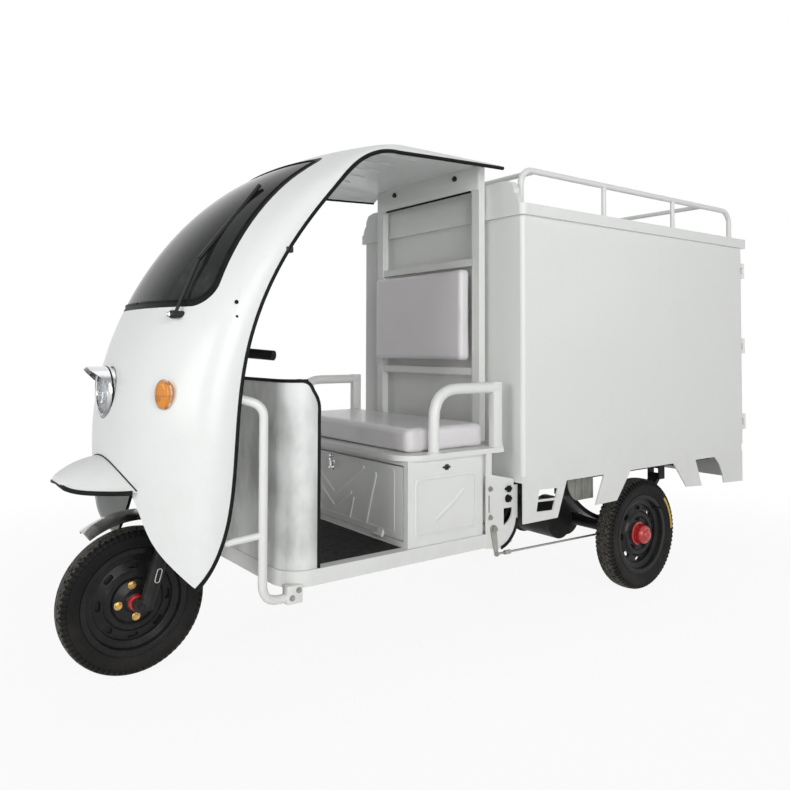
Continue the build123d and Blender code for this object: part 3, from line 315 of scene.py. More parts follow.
def brass_nut(finish, look):
    """Passivated wheel nuts, gold with worn corners."""
    wear = finish.grain(160.0, 5.0, 0.7).span(0.42, 0.7)
    finish.set(
        colour=wear.blend((0.64, 0.42, 0.13), (0.46, 0.36, 0.24)), metal=0.95, rough=0.24 + 0.22 * wear,
        normal=wear.bump(0.0001, 0.4))


def bare_steel(finish, look):
    """Box floor: chequered steel inside, the body's white paint round its edge."""
    white_paint(finish, look)
    x, y, _ = finish.axes()
    deck = (finish.facing()[2] > 0.5) * (abs(x) < outermost("box_floor") - 0.024)
    bars = (((x + y) * 150.0).sine() * ((x - y) * 150.0).sine()).largest(0.0).span(0.45, 0.7) * deck
    wear = finish.grain(5.0, 4.0, 0.6).span(0.35, 0.7)
    steel = wear.blend((0.42, 0.43, 0.44), (0.56, 0.56, 0.55))
    finish.set(
        colour=deck.blend(finish.colour_now(), steel), metal=deck * 0.8,
        rough=0.36 + 0.12 * deck - 0.16 * bars * wear, normal=bars.bump(0.0015, 0.8))


def clear_lens(finish, look):
    """Pressed lamp glass with upright flutes."""
    x, _, z = finish.axes()
    flutes, cross = (x * 760.0).sine(), (z * 230.0).sine()
    finish.set(
        colour=finish.grain(20.0).blend((0.86, 0.89, 0.90), (0.74, 0.78, 0.80)),
        rough=finish.grain(30.0, 4.0).span(0.4, 0.7, 0.03, 0.11), alpha=0.26 + 0.05 * flutes, ior=1.5,
        coat=0.5, coat_rough=0.03, normal=(flutes + cross * 0.6).bump(0.0009, 0.8))


def coloured_lens(deep, bright):
    """A coloured lens with ribs inside it and, on the turn signals, painted shadows of a cross seam and of a bulb
    behind it.
    """
    signal = middle("turn_signal_left")

    def finish_lens(finish, look):
        x, _, z = finish.axes()
        across = abs(x)
        ribs, prisms = (z * 1250.0).sine(), (x * 1250.0).sine()
        dust = finish.grain(26.0, 5.0).span(0.5, 0.8) * 0.06
        colour = (ribs * prisms).span(-0.7, 0.9).blend(deep, bright)
        # painted shadow: dark lines across the lens and a dark disc where the bulb sits behind it
        seam_shadows = [abs(way - at).span(0.0006, 0.0018, 1.0, 0.0)
                 for way, at in ((z, signal.z - 0.003), (across, signal.x - 0.0018))]
        rise = abs(z - (signal.z - 0.011))
        bulb = ((rise * rise + abs(across - (signal.x + 0.0002)) ** 2.0) ** 0.5).span(0.008, 0.013, 1.0, 0.0)
        shadow = (seam_shadows[0].largest(seam_shadows[1]) * 0.55).largest(bulb * 0.35)
        colour = shadow.blend(colour, shade(deep, 0.30))
        finish.set(
            colour=dust.blend(colour, (0.55, 0.50, 0.44)), rough=0.09 + dust, coat=0.45 - dust, coat_rough=0.04,
            gloss=0.3, glow=colour, glow_strength=0.05, normal=(ribs + prisms * 0.5).bump(0.0005, 0.35))

    return finish_lens


def red_plastic(finish, look):
    """Gloss red hub caps with fine swirl marks and dust in the hollows."""
    base = tuple(look.cap_colour)
    dust = finish.grain(46.0, 5.0, 0.65).span(0.46, 0.8) * 0.28
    swirl = finish.grain(1.0, 5.0, 0.7, finish.stretch((90.0, 420.0, 420.0)))
    colour = (swirl * 0.5).blend(base, shade(base, 0.62))
    finish.set(
        colour=dust.blend(colour, (0.30, 0.22, 0.18)), rough=swirl.span(0.3, 0.8, 0.22, 0.42) + dust,
        coat=0.5 - dust, coat_rough=0.12, normal=swirl.bump(0.00012, 0.4))


def black_enamel(rough, dusty):
    """Black paint over castings and tubes: rough casting skin, dust, scraped spots."""

    def finish_enamel(finish, look):
        dust = road_dust(finish, 0.1, 0.75) * dusty * 0.4
        chips = (finish.cells(130.0) + finish.grain(80.0, 4.0) * 0.5).span(0.27, 0.31, 1.0, 0.0)
        colour = finish.grain(14.0, 4.0).blend((0.006, 0.006, 0.007), (0.014, 0.014, 0.015))
        colour = (chips * 0.35).blend(colour, (0.16, 0.13, 0.11))
        finish.set(
            colour=dust.blend(colour, (0.20, 0.185, 0.16)),
            rough=finish.grain(24.0, 4.0).span(0.3, 0.7, rough, rough + 0.16) + dust * 0.4, gloss=0.14,
            normal=(finish.grain(260.0, 3.0, 0.6) - chips * 0.6).bump(0.00022, 0.5))

    return finish_enamel


def stainless(finish, look):
    """Polished stainless guard: painted dark reflections of the road in its colour, brushed along its length."""
    brush = finish.grain(1.0, 5.0, 0.7, finish.stretch((700.0, 9.0, 9.0)))
    smudge = finish.grain(16.0, 4.0, 0.6).span(0.35, 0.75)
    reflection_cloud = finish.grain(9.0, 2.0) - 0.5
    # painted reflection: the colour darkens where the guard faces sideways, with a little real smudging mixed in
    painted_reflection_band = (abs(finish.facing()[0] + reflection_cloud * 0.5) + reflection_cloud * 0.4).span(0.10, 0.75)
    colour = (painted_reflection_band * 0.8 + smudge * 0.2).blend((0.62, 0.61, 0.59), (0.075, 0.07, 0.065))
    finish.set(
        colour=(brush * 0.25).blend(colour, (0.20, 0.19, 0.18)), metal=1.0,
        rough=0.12 + 0.12 * brush + 0.10 * smudge, normal=brush.bump(0.00008, 0.3))


def zinc_steel(finish, look):
    """Yellow-passivated zinc: blotchy, lightly brushed."""
    blotch = finish.grain(40.0, 5.0, 0.7)
    finish.set(
        colour=blotch.blend((0.50, 0.49, 0.46), (0.20, 0.195, 0.18)), metal=0.9,
        rough=finish.cells(180.0).span(0.0, 0.5, 0.30, 0.46), normal=blotch.bump(0.0001, 0.4))


def dark_steel(finish, look):
    """Inner guard panels: dark paint under dried road dust."""
    dust = finish.grain(11.0, 6.0, 0.65).span(0.32, 0.75)
    splash = finish.cells(60.0).span(0.0, 0.25, 1.0, 0.0) * 0.5
    finish.set(
        colour=(dust * 0.7 + splash * 0.2).blend((0.17, 0.17, 0.155), (0.34, 0.335, 0.30)),
        rough=0.62 + 0.2 * dust, normal=(dust + splash).bump(0.0005, 0.6))


def tyre_rubber(finish, look):
    """Tyre: bloomed rubber, scuffed tread and the worn yellow strip on the left rear sidewall."""
    x, y, z = finish.axes()
    dust = road_dust(finish, 0.0, 0.55) * 0.16
    bloom = finish.grain(30.0, 5.0, 0.7)
    colour = bloom.blend((0.006, 0.006, 0.0065), (0.015, 0.0145, 0.0145))
    along, rise = y - REAR_AXLE.y, z - REAR_AXLE.z
    reach = (along * along + rise * rise).root()
    ring = abs(reach - (REAR_AXLE.z - 0.031)).span(0.0050, 0.0056, 1.0, 0.0)
    arc = abs(rise.angle(along) - 0.37).span(0.37, 0.375, 1.0, 0.0)
    worn = (finish.cells(330.0) + finish.grain(90.0, 3.0) * 0.3).span(0.30, 0.42)
    strip = ring * arc * (x > REAR_AXLE.x + 0.022) * (0.45 + 0.55 * worn)
    ahead, up = y - FRONT_AXLE.y, z - FRONT_AXLE.z
    past_tread = (reach - REAR_AXLE.z).smallest((ahead * ahead + up * up) ** 0.5 - FRONT_AXLE.z)
    scuffed = finish.cells(150.0).span(0.30, 0.50) * past_tread.span(-0.009, -0.003)
    colour = (dust + scuffed * 0.35).blend(colour, (0.21, 0.195, 0.17))
    finish.set(
        colour=strip.blend(colour, (0.62, 0.42, 0.09)), rough=bloom.span(0.3, 0.7, 0.42, 0.60) + dust * 0.3,
        gloss=0.10, ior=1.40, normal=finish.grain(480.0, 2.0).bump(0.0002, 0.6))


def grey_vinyl(finish, look):
    """Grained vinyl still under its clear film: creases with sharp glints, and a painted highlight that lifts the
    colour along the ridges.
    """
    base = tuple(look.vinyl_colour)
    ridge = finish.grain(7.0, 3.0, 0.5, finish.stretch((1.0, 2.2, 2.2)), "RIDGED_MULTIFRACTAL").span(0.7, 1.3)
    colour = (finish.grain(6.0, 4.0, 0.6) * 0.6).blend(base, shade(base, 0.80))
    # painted highlight: the colour is lifted towards white along the film's ridges
    finish.set(
        colour=(ridge * 0.25).blend(colour, (0.88, 0.87, 0.88)), rough=ridge.span(0.0, 1.0, 0.42, 0.22),
        coat=0.35 + 0.4 * ridge, coat_rough=0.08, sheen=0.05,
        normal=ridge.bump(0.0022, 0.4, finish.cells(620.0).bump(0.0002, 0.35)))


FINISHES = {build.__name__: build for build in (
    shell_white, shield_white, white_paint, tinted_glass, black_rubber, black_plastic, chrome, mirror, bulb_glass,
    amber_shadow, brass_nut, bare_steel, clear_lens, red_plastic, stainless, zinc_steel, dark_steel, tyre_rubber,
    grey_vinyl)}
FINISHES["amber_lens"] = coloured_lens((0.50, 0.12, 0.002), (0.86, 0.36, 0.012))
FINISHES["red_lens"] = coloured_lens((0.30, 0.004, 0.004), (0.72, 0.03, 0.02))
FINISHES["black_paint"] = black_enamel(0.34, 0.5)
FINISHES["black_rim"] = black_enamel(0.14, 0.3)


def finish_of(slot):
    """The material of a slot, which the finishes operator made."""
    return bpy.data.materials["finish_" + slot]


# ---------------------------------------------------------------- bench tools
def only(*parts):
    """Selects these objects and nothing else, with the first one active."""
    bpy.ops.object.select_all(action="DESELECT")
    for part in parts:
        part.select_set(True)
    if parts:
        bpy.context.view_layer.objects.active = parts[0]


def settle(obj):
    """Puts a piece's place, turn and scale into its mesh."""
    only(obj)
    bpy.ops.object.transform_apply(location=True, rotation=True, scale=True)
    return obj


def place(primitive, name, **settings):
    """Adds a primitive with nothing else selected and names it."""
    only()
    primitive(**settings)
    bpy.context.object.name = name
    return settle(bpy.context.object)


def modifier(obj, kind, **settings):
    """Adds a modifier, sets it and applies it."""
    only(obj)
    bpy.ops.object.modifier_add(type=kind)
    made = obj.modifiers[-1]
    for key, value in settings.items():
        setattr(made, key, value)
    bpy.ops.object.modifier_apply(modifier=made.name)
    return obj


def edit(obj):
    """Enters edit mode with all of a piece selected."""
    only(obj)
    bpy.ops.object.mode_set(mode="EDIT")
    bpy.ops.mesh.select_all(action="SELECT")


def leave():
    bpy.ops.object.mode_set(mode="OBJECT")


def pick(obj, choose):
    """Enters edit mode with the chosen faces selected."""
    edit(obj)
    bpy.ops.mesh.select_mode(type="FACE")
    bpy.ops.mesh.select_all(action="DESELECT")
    leave()
    for face in obj.data.polygons:
        face.select = bool(choose(face))
    bpy.ops.object.mode_set(mode="EDIT")


def hang(obj, slot, smooth=40.0, body="chassis"):
    """Settles, shades and paints a piece, and hangs it on its body."""
    settle(obj)
    bpy.ops.object.shade_smooth_by_angle(angle=radians(smooth))
    obj.data.materials.clear()
    obj.data.materials.append(finish_of(slot))
    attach(obj, body)
    return obj


def joined(parts, name):
    """One object made of several."""
    only(*parts)
    bpy.ops.object.join()
    bpy.context.object.name = name
    return bpy.context.object


def tube(name, points, radius, rounds=3, steps=3, cyclic=False):
    """A round bar bent along points."""
    only()
    bpy.ops.curve.primitive_bezier_curve_add()
    line = bpy.context.object.data
    line.dimensions = "3D"
    line.splines.clear()
    run = line.splines.new("BEZIER")
    run.bezier_points.add(len(points) - 1)
    for knot, point in zip(run.bezier_points, points):
        knot.co = point
        knot.handle_left_type = knot.handle_right_type = "AUTO"
    run.use_cyclic_u = cyclic
    run.resolution_u = steps
    line.bevel_depth = radius
    line.bevel_resolution = rounds
    line.use_fill_caps = not cyclic
    bpy.ops.object.convert(target="MESH")
    bpy.context.object.name = name
    return modifier(bpy.context.object, "WELD", merge_threshold=0.0002)


def trim(name, points, radius, steps=2):
    """Black rubber edging pushed on along a path."""
    return hang(tube(name, points, radius, 2, steps), "black_rubber", 60)


def rounded(corners, radius, count=6):
    """A path through corners with each bend rounded."""
    corners = [Vector(c) for c in corners]
    path = [corners[0]]
    for before, corner, after in zip(corners, corners[1:], corners[2:]):
        reach = min(radius, (before - corner).length * 0.48, (after - corner).length * 0.48)
        enter, depart = (corner + (end - corner).normalized() * reach for end in (before, after))
        for k in range(count + 1):
            t = k / count
            path.append(enter.lerp(corner, t).lerp(corner.lerp(depart, t), t))
    return path + [corners[-1]]


def bent_bar(name, corners, radius, bend, rounds=3):
    """A straight-sided white bar with rounded bends."""
    return hang(tube(name, rounded(corners, bend), radius, rounds, 1), "white_paint", 50)


def plate(name, low, high, edge=0.0015):
    """A sheet or block between two corners with broken edges."""
    low, high = Vector(low), Vector(high)
    block = place(bpy.ops.mesh.primitive_cube_add, name, scale=(high - low) / 2, location=(low + high) / 2)
    return modifier(block, "BEVEL", width=edge, segments=2)


def spun(name, outline, axis, steps):
    """A closed outline turned once round an axis through the origin."""
    part = place(bpy.ops.mesh.primitive_circle_add, name, vertices=len(outline), radius=1.0)
    for vertex, point in zip(part.data.vertices, outline):
        vertex.co = point
    edit(part)
    bpy.ops.mesh.spin(steps=steps, angle=2 * pi, center=(0, 0, 0), axis=axis)
    bpy.ops.mesh.select_all(action="SELECT")
    bpy.ops.mesh.remove_doubles(threshold=0.00005)
    bpy.ops.mesh.dissolve_degenerate(threshold=0.00001)
    bpy.ops.mesh.normals_make_consistent(inside=False)
    leave()
    return part


def stand(part, spot, way):
    """Stands a part that was made along Z at a spot, along a way."""
    part.matrix_world = Matrix.Translation(spot) @ Vector(way).to_track_quat("Z", "Y").to_matrix().to_4x4()
    return settle(part)


def round_part(name, profile, spot, way, turns=40):
    """A turned part from (radius, along) points, standing at a spot along a way."""
    return stand(spun(name, [(radius, 0, along) for radius, along in profile], (0, 0, 1), turns), spot, way)


def nut(name, spot, way, across, thick):
    """A hexagon nut on a pressed washer with its stud."""
    body = place(bpy.ops.mesh.primitive_cylinder_add, name, vertices=6, radius=across * 0.577, depth=thick,
                 location=(0, 0, thick / 2))
    pick(body, lambda face: face.normal.z > 0.9)
    for inward, rise in ((0.06, 0.10), (0.17, 0.0), (0.02, -0.08), (0.02, 0.30)):
        bpy.ops.mesh.inset(thickness=across * inward, depth=thick * rise)
    leave()
    washer = place(bpy.ops.mesh.primitive_cylinder_add, name + "_washer", vertices=20, radius=across * 0.78,
                   depth=thick * 0.22, location=(0, 0, thick * 0.11))
    modifier(washer, "BEVEL", width=thick * 0.06, segments=1)
    return stand(joined([body, washer], name), spot, way)


def nut_ring(name, centre, side, radius, count, start, across, thick):
    """Nuts in a ring round a wheel's axis."""
    nuts = []
    for k in range(count):
        turn = radians(start) + 2 * pi * k / count
        spot = centre + Vector((0, cos(turn) * radius, sin(turn) * radius))
        nuts.append(nut(f"{name}_{k}", spot, (side, 0, 0), across, thick))
    return joined(nuts, name)


def plug(name, spot, side, radius):
    """A round quarter-turn lock with four ears."""
    profile = [(0.0003, 0.0), (radius * 0.72, 0.0), (radius * 0.72, 0.0022), (radius * 0.6, 0.0034),
               (radius * 0.3, 0.0034), (radius * 0.28, 0.0024), (0.0003, 0.0024)]
    parts = [round_part(name, profile, spot, (side, 0, 0), 24)]
    inner, outer = sorted((spot[0] - side * 0.0004, spot[0] + side * 0.0020))
    for k, (wide, tall) in enumerate(((radius, radius * 0.34), (radius * 0.62, radius * 0.78))):
        parts.append(plate(f"{name}_ear_{k}", (inner, spot[1] - wide, spot[2] - tall),
                           (outer, spot[1] + wide, spot[2] + tall), 0.0007))
    return joined(parts, name)


def skin(node):
    """A merged copy of a CAD node's mesh, to measure or to build on."""
    copy = NODES[node].copy()
    copy.data = NODES[node].data.copy()
    copy.parent = None
    bpy.context.collection.objects.link(copy)
    edit(settle(copy))
    bpy.ops.mesh.remove_doubles(threshold=0.00002)
    leave()
    return copy


def edge_path(node, keep, step):
    """Points a step apart along the longest run of a CAD node's sharp edges that keep(middle, normals) picks."""
    copy = skin(node)
    mesh = copy.data
    faces = {}
    for face in mesh.polygons:
        for key in face.edge_keys:
            faces.setdefault(key, []).append(face.normal.copy())
    ways = {}
    for (a, b), normals in faces.items():
        if len(normals) != 2 or normals[0].angle(normals[1], 0.0) < radians(35):
            continue
        if keep((mesh.vertices[a].co + mesh.vertices[b].co) / 2, normals):
            ways.setdefault(a, []).append(b)
            ways.setdefault(b, []).append(a)
    runs = []
    left = set(ways)
    while left:
        run = [next((v for v in left if len(ways[v]) == 1), next(iter(left)))]
        left.discard(run[0])
        while ahead := [v for v in ways[run[-1]] if v in left]:
            run.append(ahead[0])
            left.discard(ahead[0])
        runs.append([mesh.vertices[v].co.copy() for v in run])
    bpy.data.objects.remove(copy)
    if not runs:
        raise RuntimeError(f"{node} has no such edge")
    return even(max(runs, key=lambda run: sum((b - a).length for a, b in zip(run, run[1:]))), step)


def even(points, step):
    """The same path with its points a step apart."""
    lengths = [0.0]
    for a, b in zip(points, points[1:]):
        lengths.append(lengths[-1] + (b - a).length)
    count = max(int(lengths[-1] / step), 2)
    made = []
    at = 0
    for k in range(count + 1):
        want = lengths[-1] * k / count
        while at < len(lengths) - 2 and lengths[at + 1] < want:
            at += 1
        share = (want - lengths[at]) / max(lengths[at + 1] - lengths[at], 1e-9)
        made.append(points[at].lerp(points[at + 1], min(max(share, 0.0), 1.0)))
    return made


# ---------------------------------------------------------------- settings
def colour_setting(name, description, default):
    return bpy.props.FloatVectorProperty(
        name=name, description=description, subtype="COLOR", size=3, default=default, min=0, max=1)


class TricycleLook(bpy.types.PropertyGroup):
    """Colours a buyer could choose."""

    shell_colour: colour_setting("Cab", "Colour of the moulded cab", (0.83, 0.845, 0.83))
    paint_colour: colour_setting("Body", "Colour of the stoved sheet steel", (0.80, 0.81, 0.785))
    vinyl_colour: colour_setting("Seat", "Colour of the seat vinyl", (0.80, 0.77, 0.785))
    cap_colour: colour_setting("Hub caps", "Colour of the hub caps", (0.52, 0.012, 0.016))


class TricycleSizes(bpy.types.PropertyGroup):
    """Sizes of the dressing pieces."""

    trim_radius: bpy.props.FloatProperty(
        name="Edge trim", description="Radius of the edging pushed on to the cab", unit="LENGTH",
        default=0.007, min=0.003, max=0.015)
    tread_blocks: bpy.props.IntProperty(
        name="Tread blocks", description="Blocks round each shoulder of a tyre", default=76, min=24, max=160)


# ---------------------------------------------------------------- operators
class TRICYCLE_OT_finishes(bpy.types.Operator):
    """Make every slot's material and paint the CAD nodes with them"""

    bl_idname = "tricycle.finishes"
    bl_label = "Finishes"

    def execute(self, context):
        for slot, build in FINISHES.items():
            build(Finish(bpy.data.materials.new("finish_" + slot)), context.scene.tricycle_look)
        for node, obj in NODES.items():
            obj.data.materials.clear()
            obj.data.materials.append(finish_of("shield_white" if node == "leg_shield" else SLOTS[node]))
        return {"FINISHED"}


class TRICYCLE_OT_edgings(bpy.types.Operator):
    """Push the black rubber edging on to the cab, its beak and the leg shield"""

    bl_idname = "tricycle.edgings"
    bl_label = "Edgings"

    def execute(self, context):
        radius = context.scene.tricycle_sizes.trim_radius
        cab_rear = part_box("cab_shell")[1].y
        shield_low, shield_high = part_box("leg_shield")
        beak_low, beak_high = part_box("upper_mudguard")
        for label, side in SIDES:
            def opening(spot, normals):
                inside = side * spot.x >= 0.30 and spot.y <= cab_rear - 0.003 and spot.z >= 0.335
                return inside and any(abs(n.x) < 0.08 and n.y > -0.7 for n in normals) and any(
                    side * n.x > 0.15 or n.z > 0.6 for n in normals)

            def shield_edge(spot, normals):
                inside = side * spot.x > 0.30 and spot.z > 0.42 and spot.y > shield_low.y + 0.03
                return inside and any(side * n.x > 0.5 for n in normals) and any(abs(n.x) < 0.3 for n in normals)

            inward = Vector((-side * 0.003, 0, 0))
            trim(f"cab_edging_{label}", [p + inward for p in edge_path("cab_shell", opening, 0.022)], radius)
            trim(f"leg_shield_edging_{label}", edge_path("leg_shield", shield_edge, 0.025), radius * 0.8)

        def shield_top(spot, normals):
            return spot.z > shield_high.z - 0.003 and any(n.z > 0.7 for n in normals) and any(
                n.y < -0.25 or n.x * spot.x > 0.3 * abs(spot.x) for n in normals)

        def beak_edge(spot, normals):
            return spot.y < beak_high.y - 0.016 and any(n.z < -0.6 for n in normals) and any(
                n.z > -0.35 and (abs(n.x) > 0.3 or n.y < -0.3) for n in normals)

        trim("leg_shield_top", edge_path("leg_shield", shield_top, 0.03), radius * 0.8)
        near = [Vector((abs(p.x), p.y, p.z)) for p in edge_path("upper_mudguard", beak_edge, 0.015)]
        near.sort(key=lambda p: p.x)
        tip = beak_low.y + radius
        near = [Vector((0, tip, near[0].z))] + [p for p in near if p.y > tip + 0.004]
        trim("beak_edging", [Vector((-p.x, p.y, p.z)) for p in reversed(near[1:])] + near, radius)

        # where the upper mudguard's top meets the cab: first down on to the mudguard, then back on to the cab
        seam = []
        for k in range(31):
            across = beak_high.x * 0.985 * (k / 15 - 1)
            for step in range(70):
                back = beak_low.y + (beak_high.y - beak_low.y) * step / 69
                met, top, *_ = NODES["upper_mudguard"].ray_cast((across, back, beak_high.z + 0.05), (0, 0, -1))
                if not met:
                    continue
                struck, wall, *_ = NODES["cab_shell"].ray_cast((across, beak_low.y - 0.2, top.z + 0.0015), (0, 1, 0))
                if struck and wall.y <= back:
                    seam.append((across, wall.y - 0.0008, top.z + 0.0010))
                    break
        trim("beak_joint", seam, 0.0021)
        return {"FINISHED"}


def tyre_section(outer, half):
    """Half a tyre's section as (across, radius) from the crown to the bead."""
    return [
        (0.0, outer), (0.007, outer), (0.0085, outer - 0.0035), (0.0115, outer - 0.0035), (0.013, outer - 0.0004),
        (half * 0.60, outer - 0.0022), (half * 0.78, outer - 0.0055), (half * 0.93, outer - 0.0125),
        (half * 0.985, outer - 0.021), (half * 0.955, outer - 0.0225), (half * 0.995, outer - 0.0245),
        (half, outer - 0.034), (half * 0.96, outer - 0.046), (half * 0.86, outer - 0.056),
        (half * 0.855, outer - 0.0575), (half * 0.80, TYRE_BEAD + 0.0165), (0.0305, TYRE_BEAD + 0.0125),
        (0.0300, TYRE_BEAD + 0.002), (0.026, TYRE_BEAD), (0.0, TYRE_BEAD + 0.001),
    ]


class TRICYCLE_OT_tyres(bpy.types.Operator):
    """Mould the three tyres with their tread blocks and sidewall rings"""

    bl_idname = "tricycle.tyres"
    bl_label = "Tyres"

    def execute(self, context):
        blocks = context.scene.tricycle_sizes.tread_blocks
        for name, node in WHEELS.items():
            low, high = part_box(node)
            outer, half = (high.z - low.z) / 2, (high.x - low.x) / 2
            section = tyre_section(outer, half - 0.0004)
            ring = section + [(-across, radius) for across, radius in reversed(section[1:-1])]
            tyre = spun(f"tyre_{name}", [(across, 0, radius) for across, radius in ring], (1, 0, 0), 2 * blocks)

            def groove(face):
                across, radius = abs(face.center.x), sqrt(face.center.y ** 2 + face.center.z ** 2)
                step = int(atan2(face.center.z, face.center.y) / (2 * pi) * 2 * blocks // 1)
                if radius < outer - 0.019:
                    return False
                if across > half * 0.62:
                    return step % 2 == 0
                return 0.014 < across < half * 0.62 and step % 4 == 1

            pick(tyre, groove)
            bpy.ops.mesh.inset(thickness=0.0008, depth=-0.0050, use_even_offset=False)
            leave()
            tyre.location = middle(node)
            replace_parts(hang(tyre, "tyre_rubber", 32, BODY[node]), node)
        return {"FINISHED"}


def pad(name, node, shrink, cap, voxel):
    """A cushion that starts smaller than its CAD block and is filled by cloth pressure."""
    cushion = skin(node)
    cushion.name = name
    low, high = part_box(node)
    centre = middle(node)
    for vertex in cushion.data.vertices:
        vertex.co = centre + Vector(
            c - (shrink if c > 0 else -shrink) * min(abs(c) / max(h, 1e-6), 1.0)
            for c, h in zip(vertex.co - centre, (high - low) / 2))
    modifier(cushion, "REMESH", mode="VOXEL", voxel_size=voxel)
    start = [v.co.copy() for v in cushion.data.vertices]
    only(cushion)
    bpy.ops.object.modifier_add(type="CLOTH")
    cloth = cushion.modifiers[-1]
    cloth.settings.use_pressure = True
    cloth.settings.uniform_pressure_force = 4.0
    cloth.settings.effector_weights.gravity = 0.0
    cloth.settings.quality = 6
    for step in range(1, CLOTH_STEPS + 1):
        bpy.context.scene.frame_set(step)
    bpy.ops.object.modifier_apply(modifier=cloth.name)
    bpy.context.scene.frame_set(1)
    for vertex, was in zip(cushion.data.vertices, start):
        moved = vertex.co - was
        if moved.length > cap:
            vertex.co = was + moved * (cap / moved.length)
        vertex.co = Vector(min(max(c, a), b) for c, a, b in zip(vertex.co, low, high))
    modifier(cushion, "SUBSURF", levels=1, render_levels=1)
    modifier(cushion, "SMOOTH", factor=0.5, iterations=2)
    hang(cushion, SLOTS[node], 180)
    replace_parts(cushion, node)


class TRICYCLE_OT_cushions(bpy.types.Operator):
    """Fill the seat and backrest cushions"""

    bl_idname = "tricycle.cushions"
    bl_label = "Cushions"

    def execute(self, context):
        pad("seat_pad", "seat_cushion", 0.004, 0.010, 0.007)
        pad("back_pad", "backrest_cushion", 0.003, 0.008, 0.0065)
        return {"FINISHED"}


class TRICYCLE_OT_hubs(bpy.types.Operator):
    """Fit the hubs, wheel nuts, hub caps and valve stems, and outline the fork's legs"""

    bl_idname = "tricycle.hubs"
    bl_label = "Hubs"

    def execute(self, context):
        centre = middle("front_tyre")
        leg = outermost("fork") - 0.027
        for label, side in SIDES:
            way = (side, 0, 0)
            face = Vector((side * 0.0125, centre.y, centre.z))
            hub = hang(round_part(
                f"front_hub_{label}",
                [(0.0095, 0.0), (0.066, 0.0), (0.066, 0.004), (0.062, 0.007), (0.040, 0.008), (0.034, 0.012),
                 (0.031, 0.024), (0.026, 0.028), (0.0095, 0.028)], face, way, 48), "black_rim", body="front_wheel")
            if side > 0:
                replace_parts(hub, "wheel_cap_front")
            else:
                hang(round_part(
                    f"front_drum_{label}",
                    [(0.0095, 0.0), (0.040, 0.0), (0.118, 0.002), (0.121, 0.005), (0.118, 0.008), (0.040, 0.009),
                     (0.0095, 0.009)], (-0.0105, centre.y, centre.z), (1, 0, 0), 48), "black_rim", body="front_wheel")
            hang(round_part(
                f"front_hub_cap_{label}",
                [(0.0095, 0.0265), (0.0255, 0.0265), (0.0255, 0.031), (0.0225, 0.036), (0.016, 0.0375),
                 (0.0095, 0.0375)], face, way, 36), "red_plastic", body="front_wheel")
            nuts = nut_ring(f"front_wheel_nuts_{label}", face + Vector((side * 0.0075, 0, 0)), side, 0.050, 4, 8,
                            0.017, 0.010)
            hang(nuts, "brass_nut", 30, "front_wheel")
        for label, side in SIDES:
            wheel = f"rear_wheel_{label}"
            rear = middle(f"rear_tyre_{label}")
            tip = outermost(f"wheel_cap_{label}")
            nuts = nut_ring(f"rear_wheel_nuts_{label}", rear + Vector((side * 0.0125, 0, 0)), side, 0.064, 5, 20,
                            0.017, 0.011)
            hang(nuts, "black_rim", 30, wheel)
            hang(round_part(
                f"rear_hub_dome_{label}",
                [(0.0003, 0.0), (0.0235, 0.0), (0.0245, 0.003), (0.0225, 0.008), (0.016, 0.0125), (0.008, 0.0148),
                 (0.0003, 0.0155)], (side * (tip - 0.004), rear.y, rear.z), (side, 0, 0)), "red_plastic", 50, wheel)
            bolts = nut_ring(f"rear_cap_bolts_{label}", Vector((side * (tip - 0.030), rear.y, rear.z)), side, 0.036,
                             5, 50, 0.009, 0.006)
            hang(bolts, "zinc_steel", 30, wheel)
        # a slot-shaped outline, this far up each fork leg and wrapped round its outer face
        up_leg, leg_radius, leg_ahead, end_radius, half_straight, knots = 0.092, 0.0243, 0.0247, 0.0075, 0.014, 28
        for label, side in SIDES:
            outline = []
            for k in range(knots):
                turn = 2 * pi * k / knots
                wide = end_radius * cos(turn)
                along = up_leg + end_radius * sin(turn) + (half_straight if sin(turn) > 0 else -half_straight)
                outline.append((
                    side * (leg + sqrt(leg_radius ** 2 - wide ** 2)),
                    centre.y + leg_ahead + wide * cos(RAKE) + along * sin(RAKE),
                    centre.z + along * cos(RAKE) - wide * sin(RAKE)))
            hang(tube(f"fork_outline_{label}", outline, 0.0014, 1, 2, cyclic=True), "white_paint", 60, "steering")
        for name, node in WHEELS.items():
            side = -1 if name == "right" else 1
            hang(round_part(
                f"valve_{name}",
                [(0.0004, 0.0), (0.0048, 0.0), (0.0046, 0.014), (0.0034, 0.017), (0.0034, 0.026), (0.0042, 0.027),
                 (0.0042, 0.036), (0.0030, 0.038), (0.0004, 0.038)],
                middle(node) + Vector((side * 0.018, 0.105, 0.095)), (side * 0.75, 0.2, 0.18), 16),
                "black_rubber", body=BODY[node])
        return {"FINISHED"}


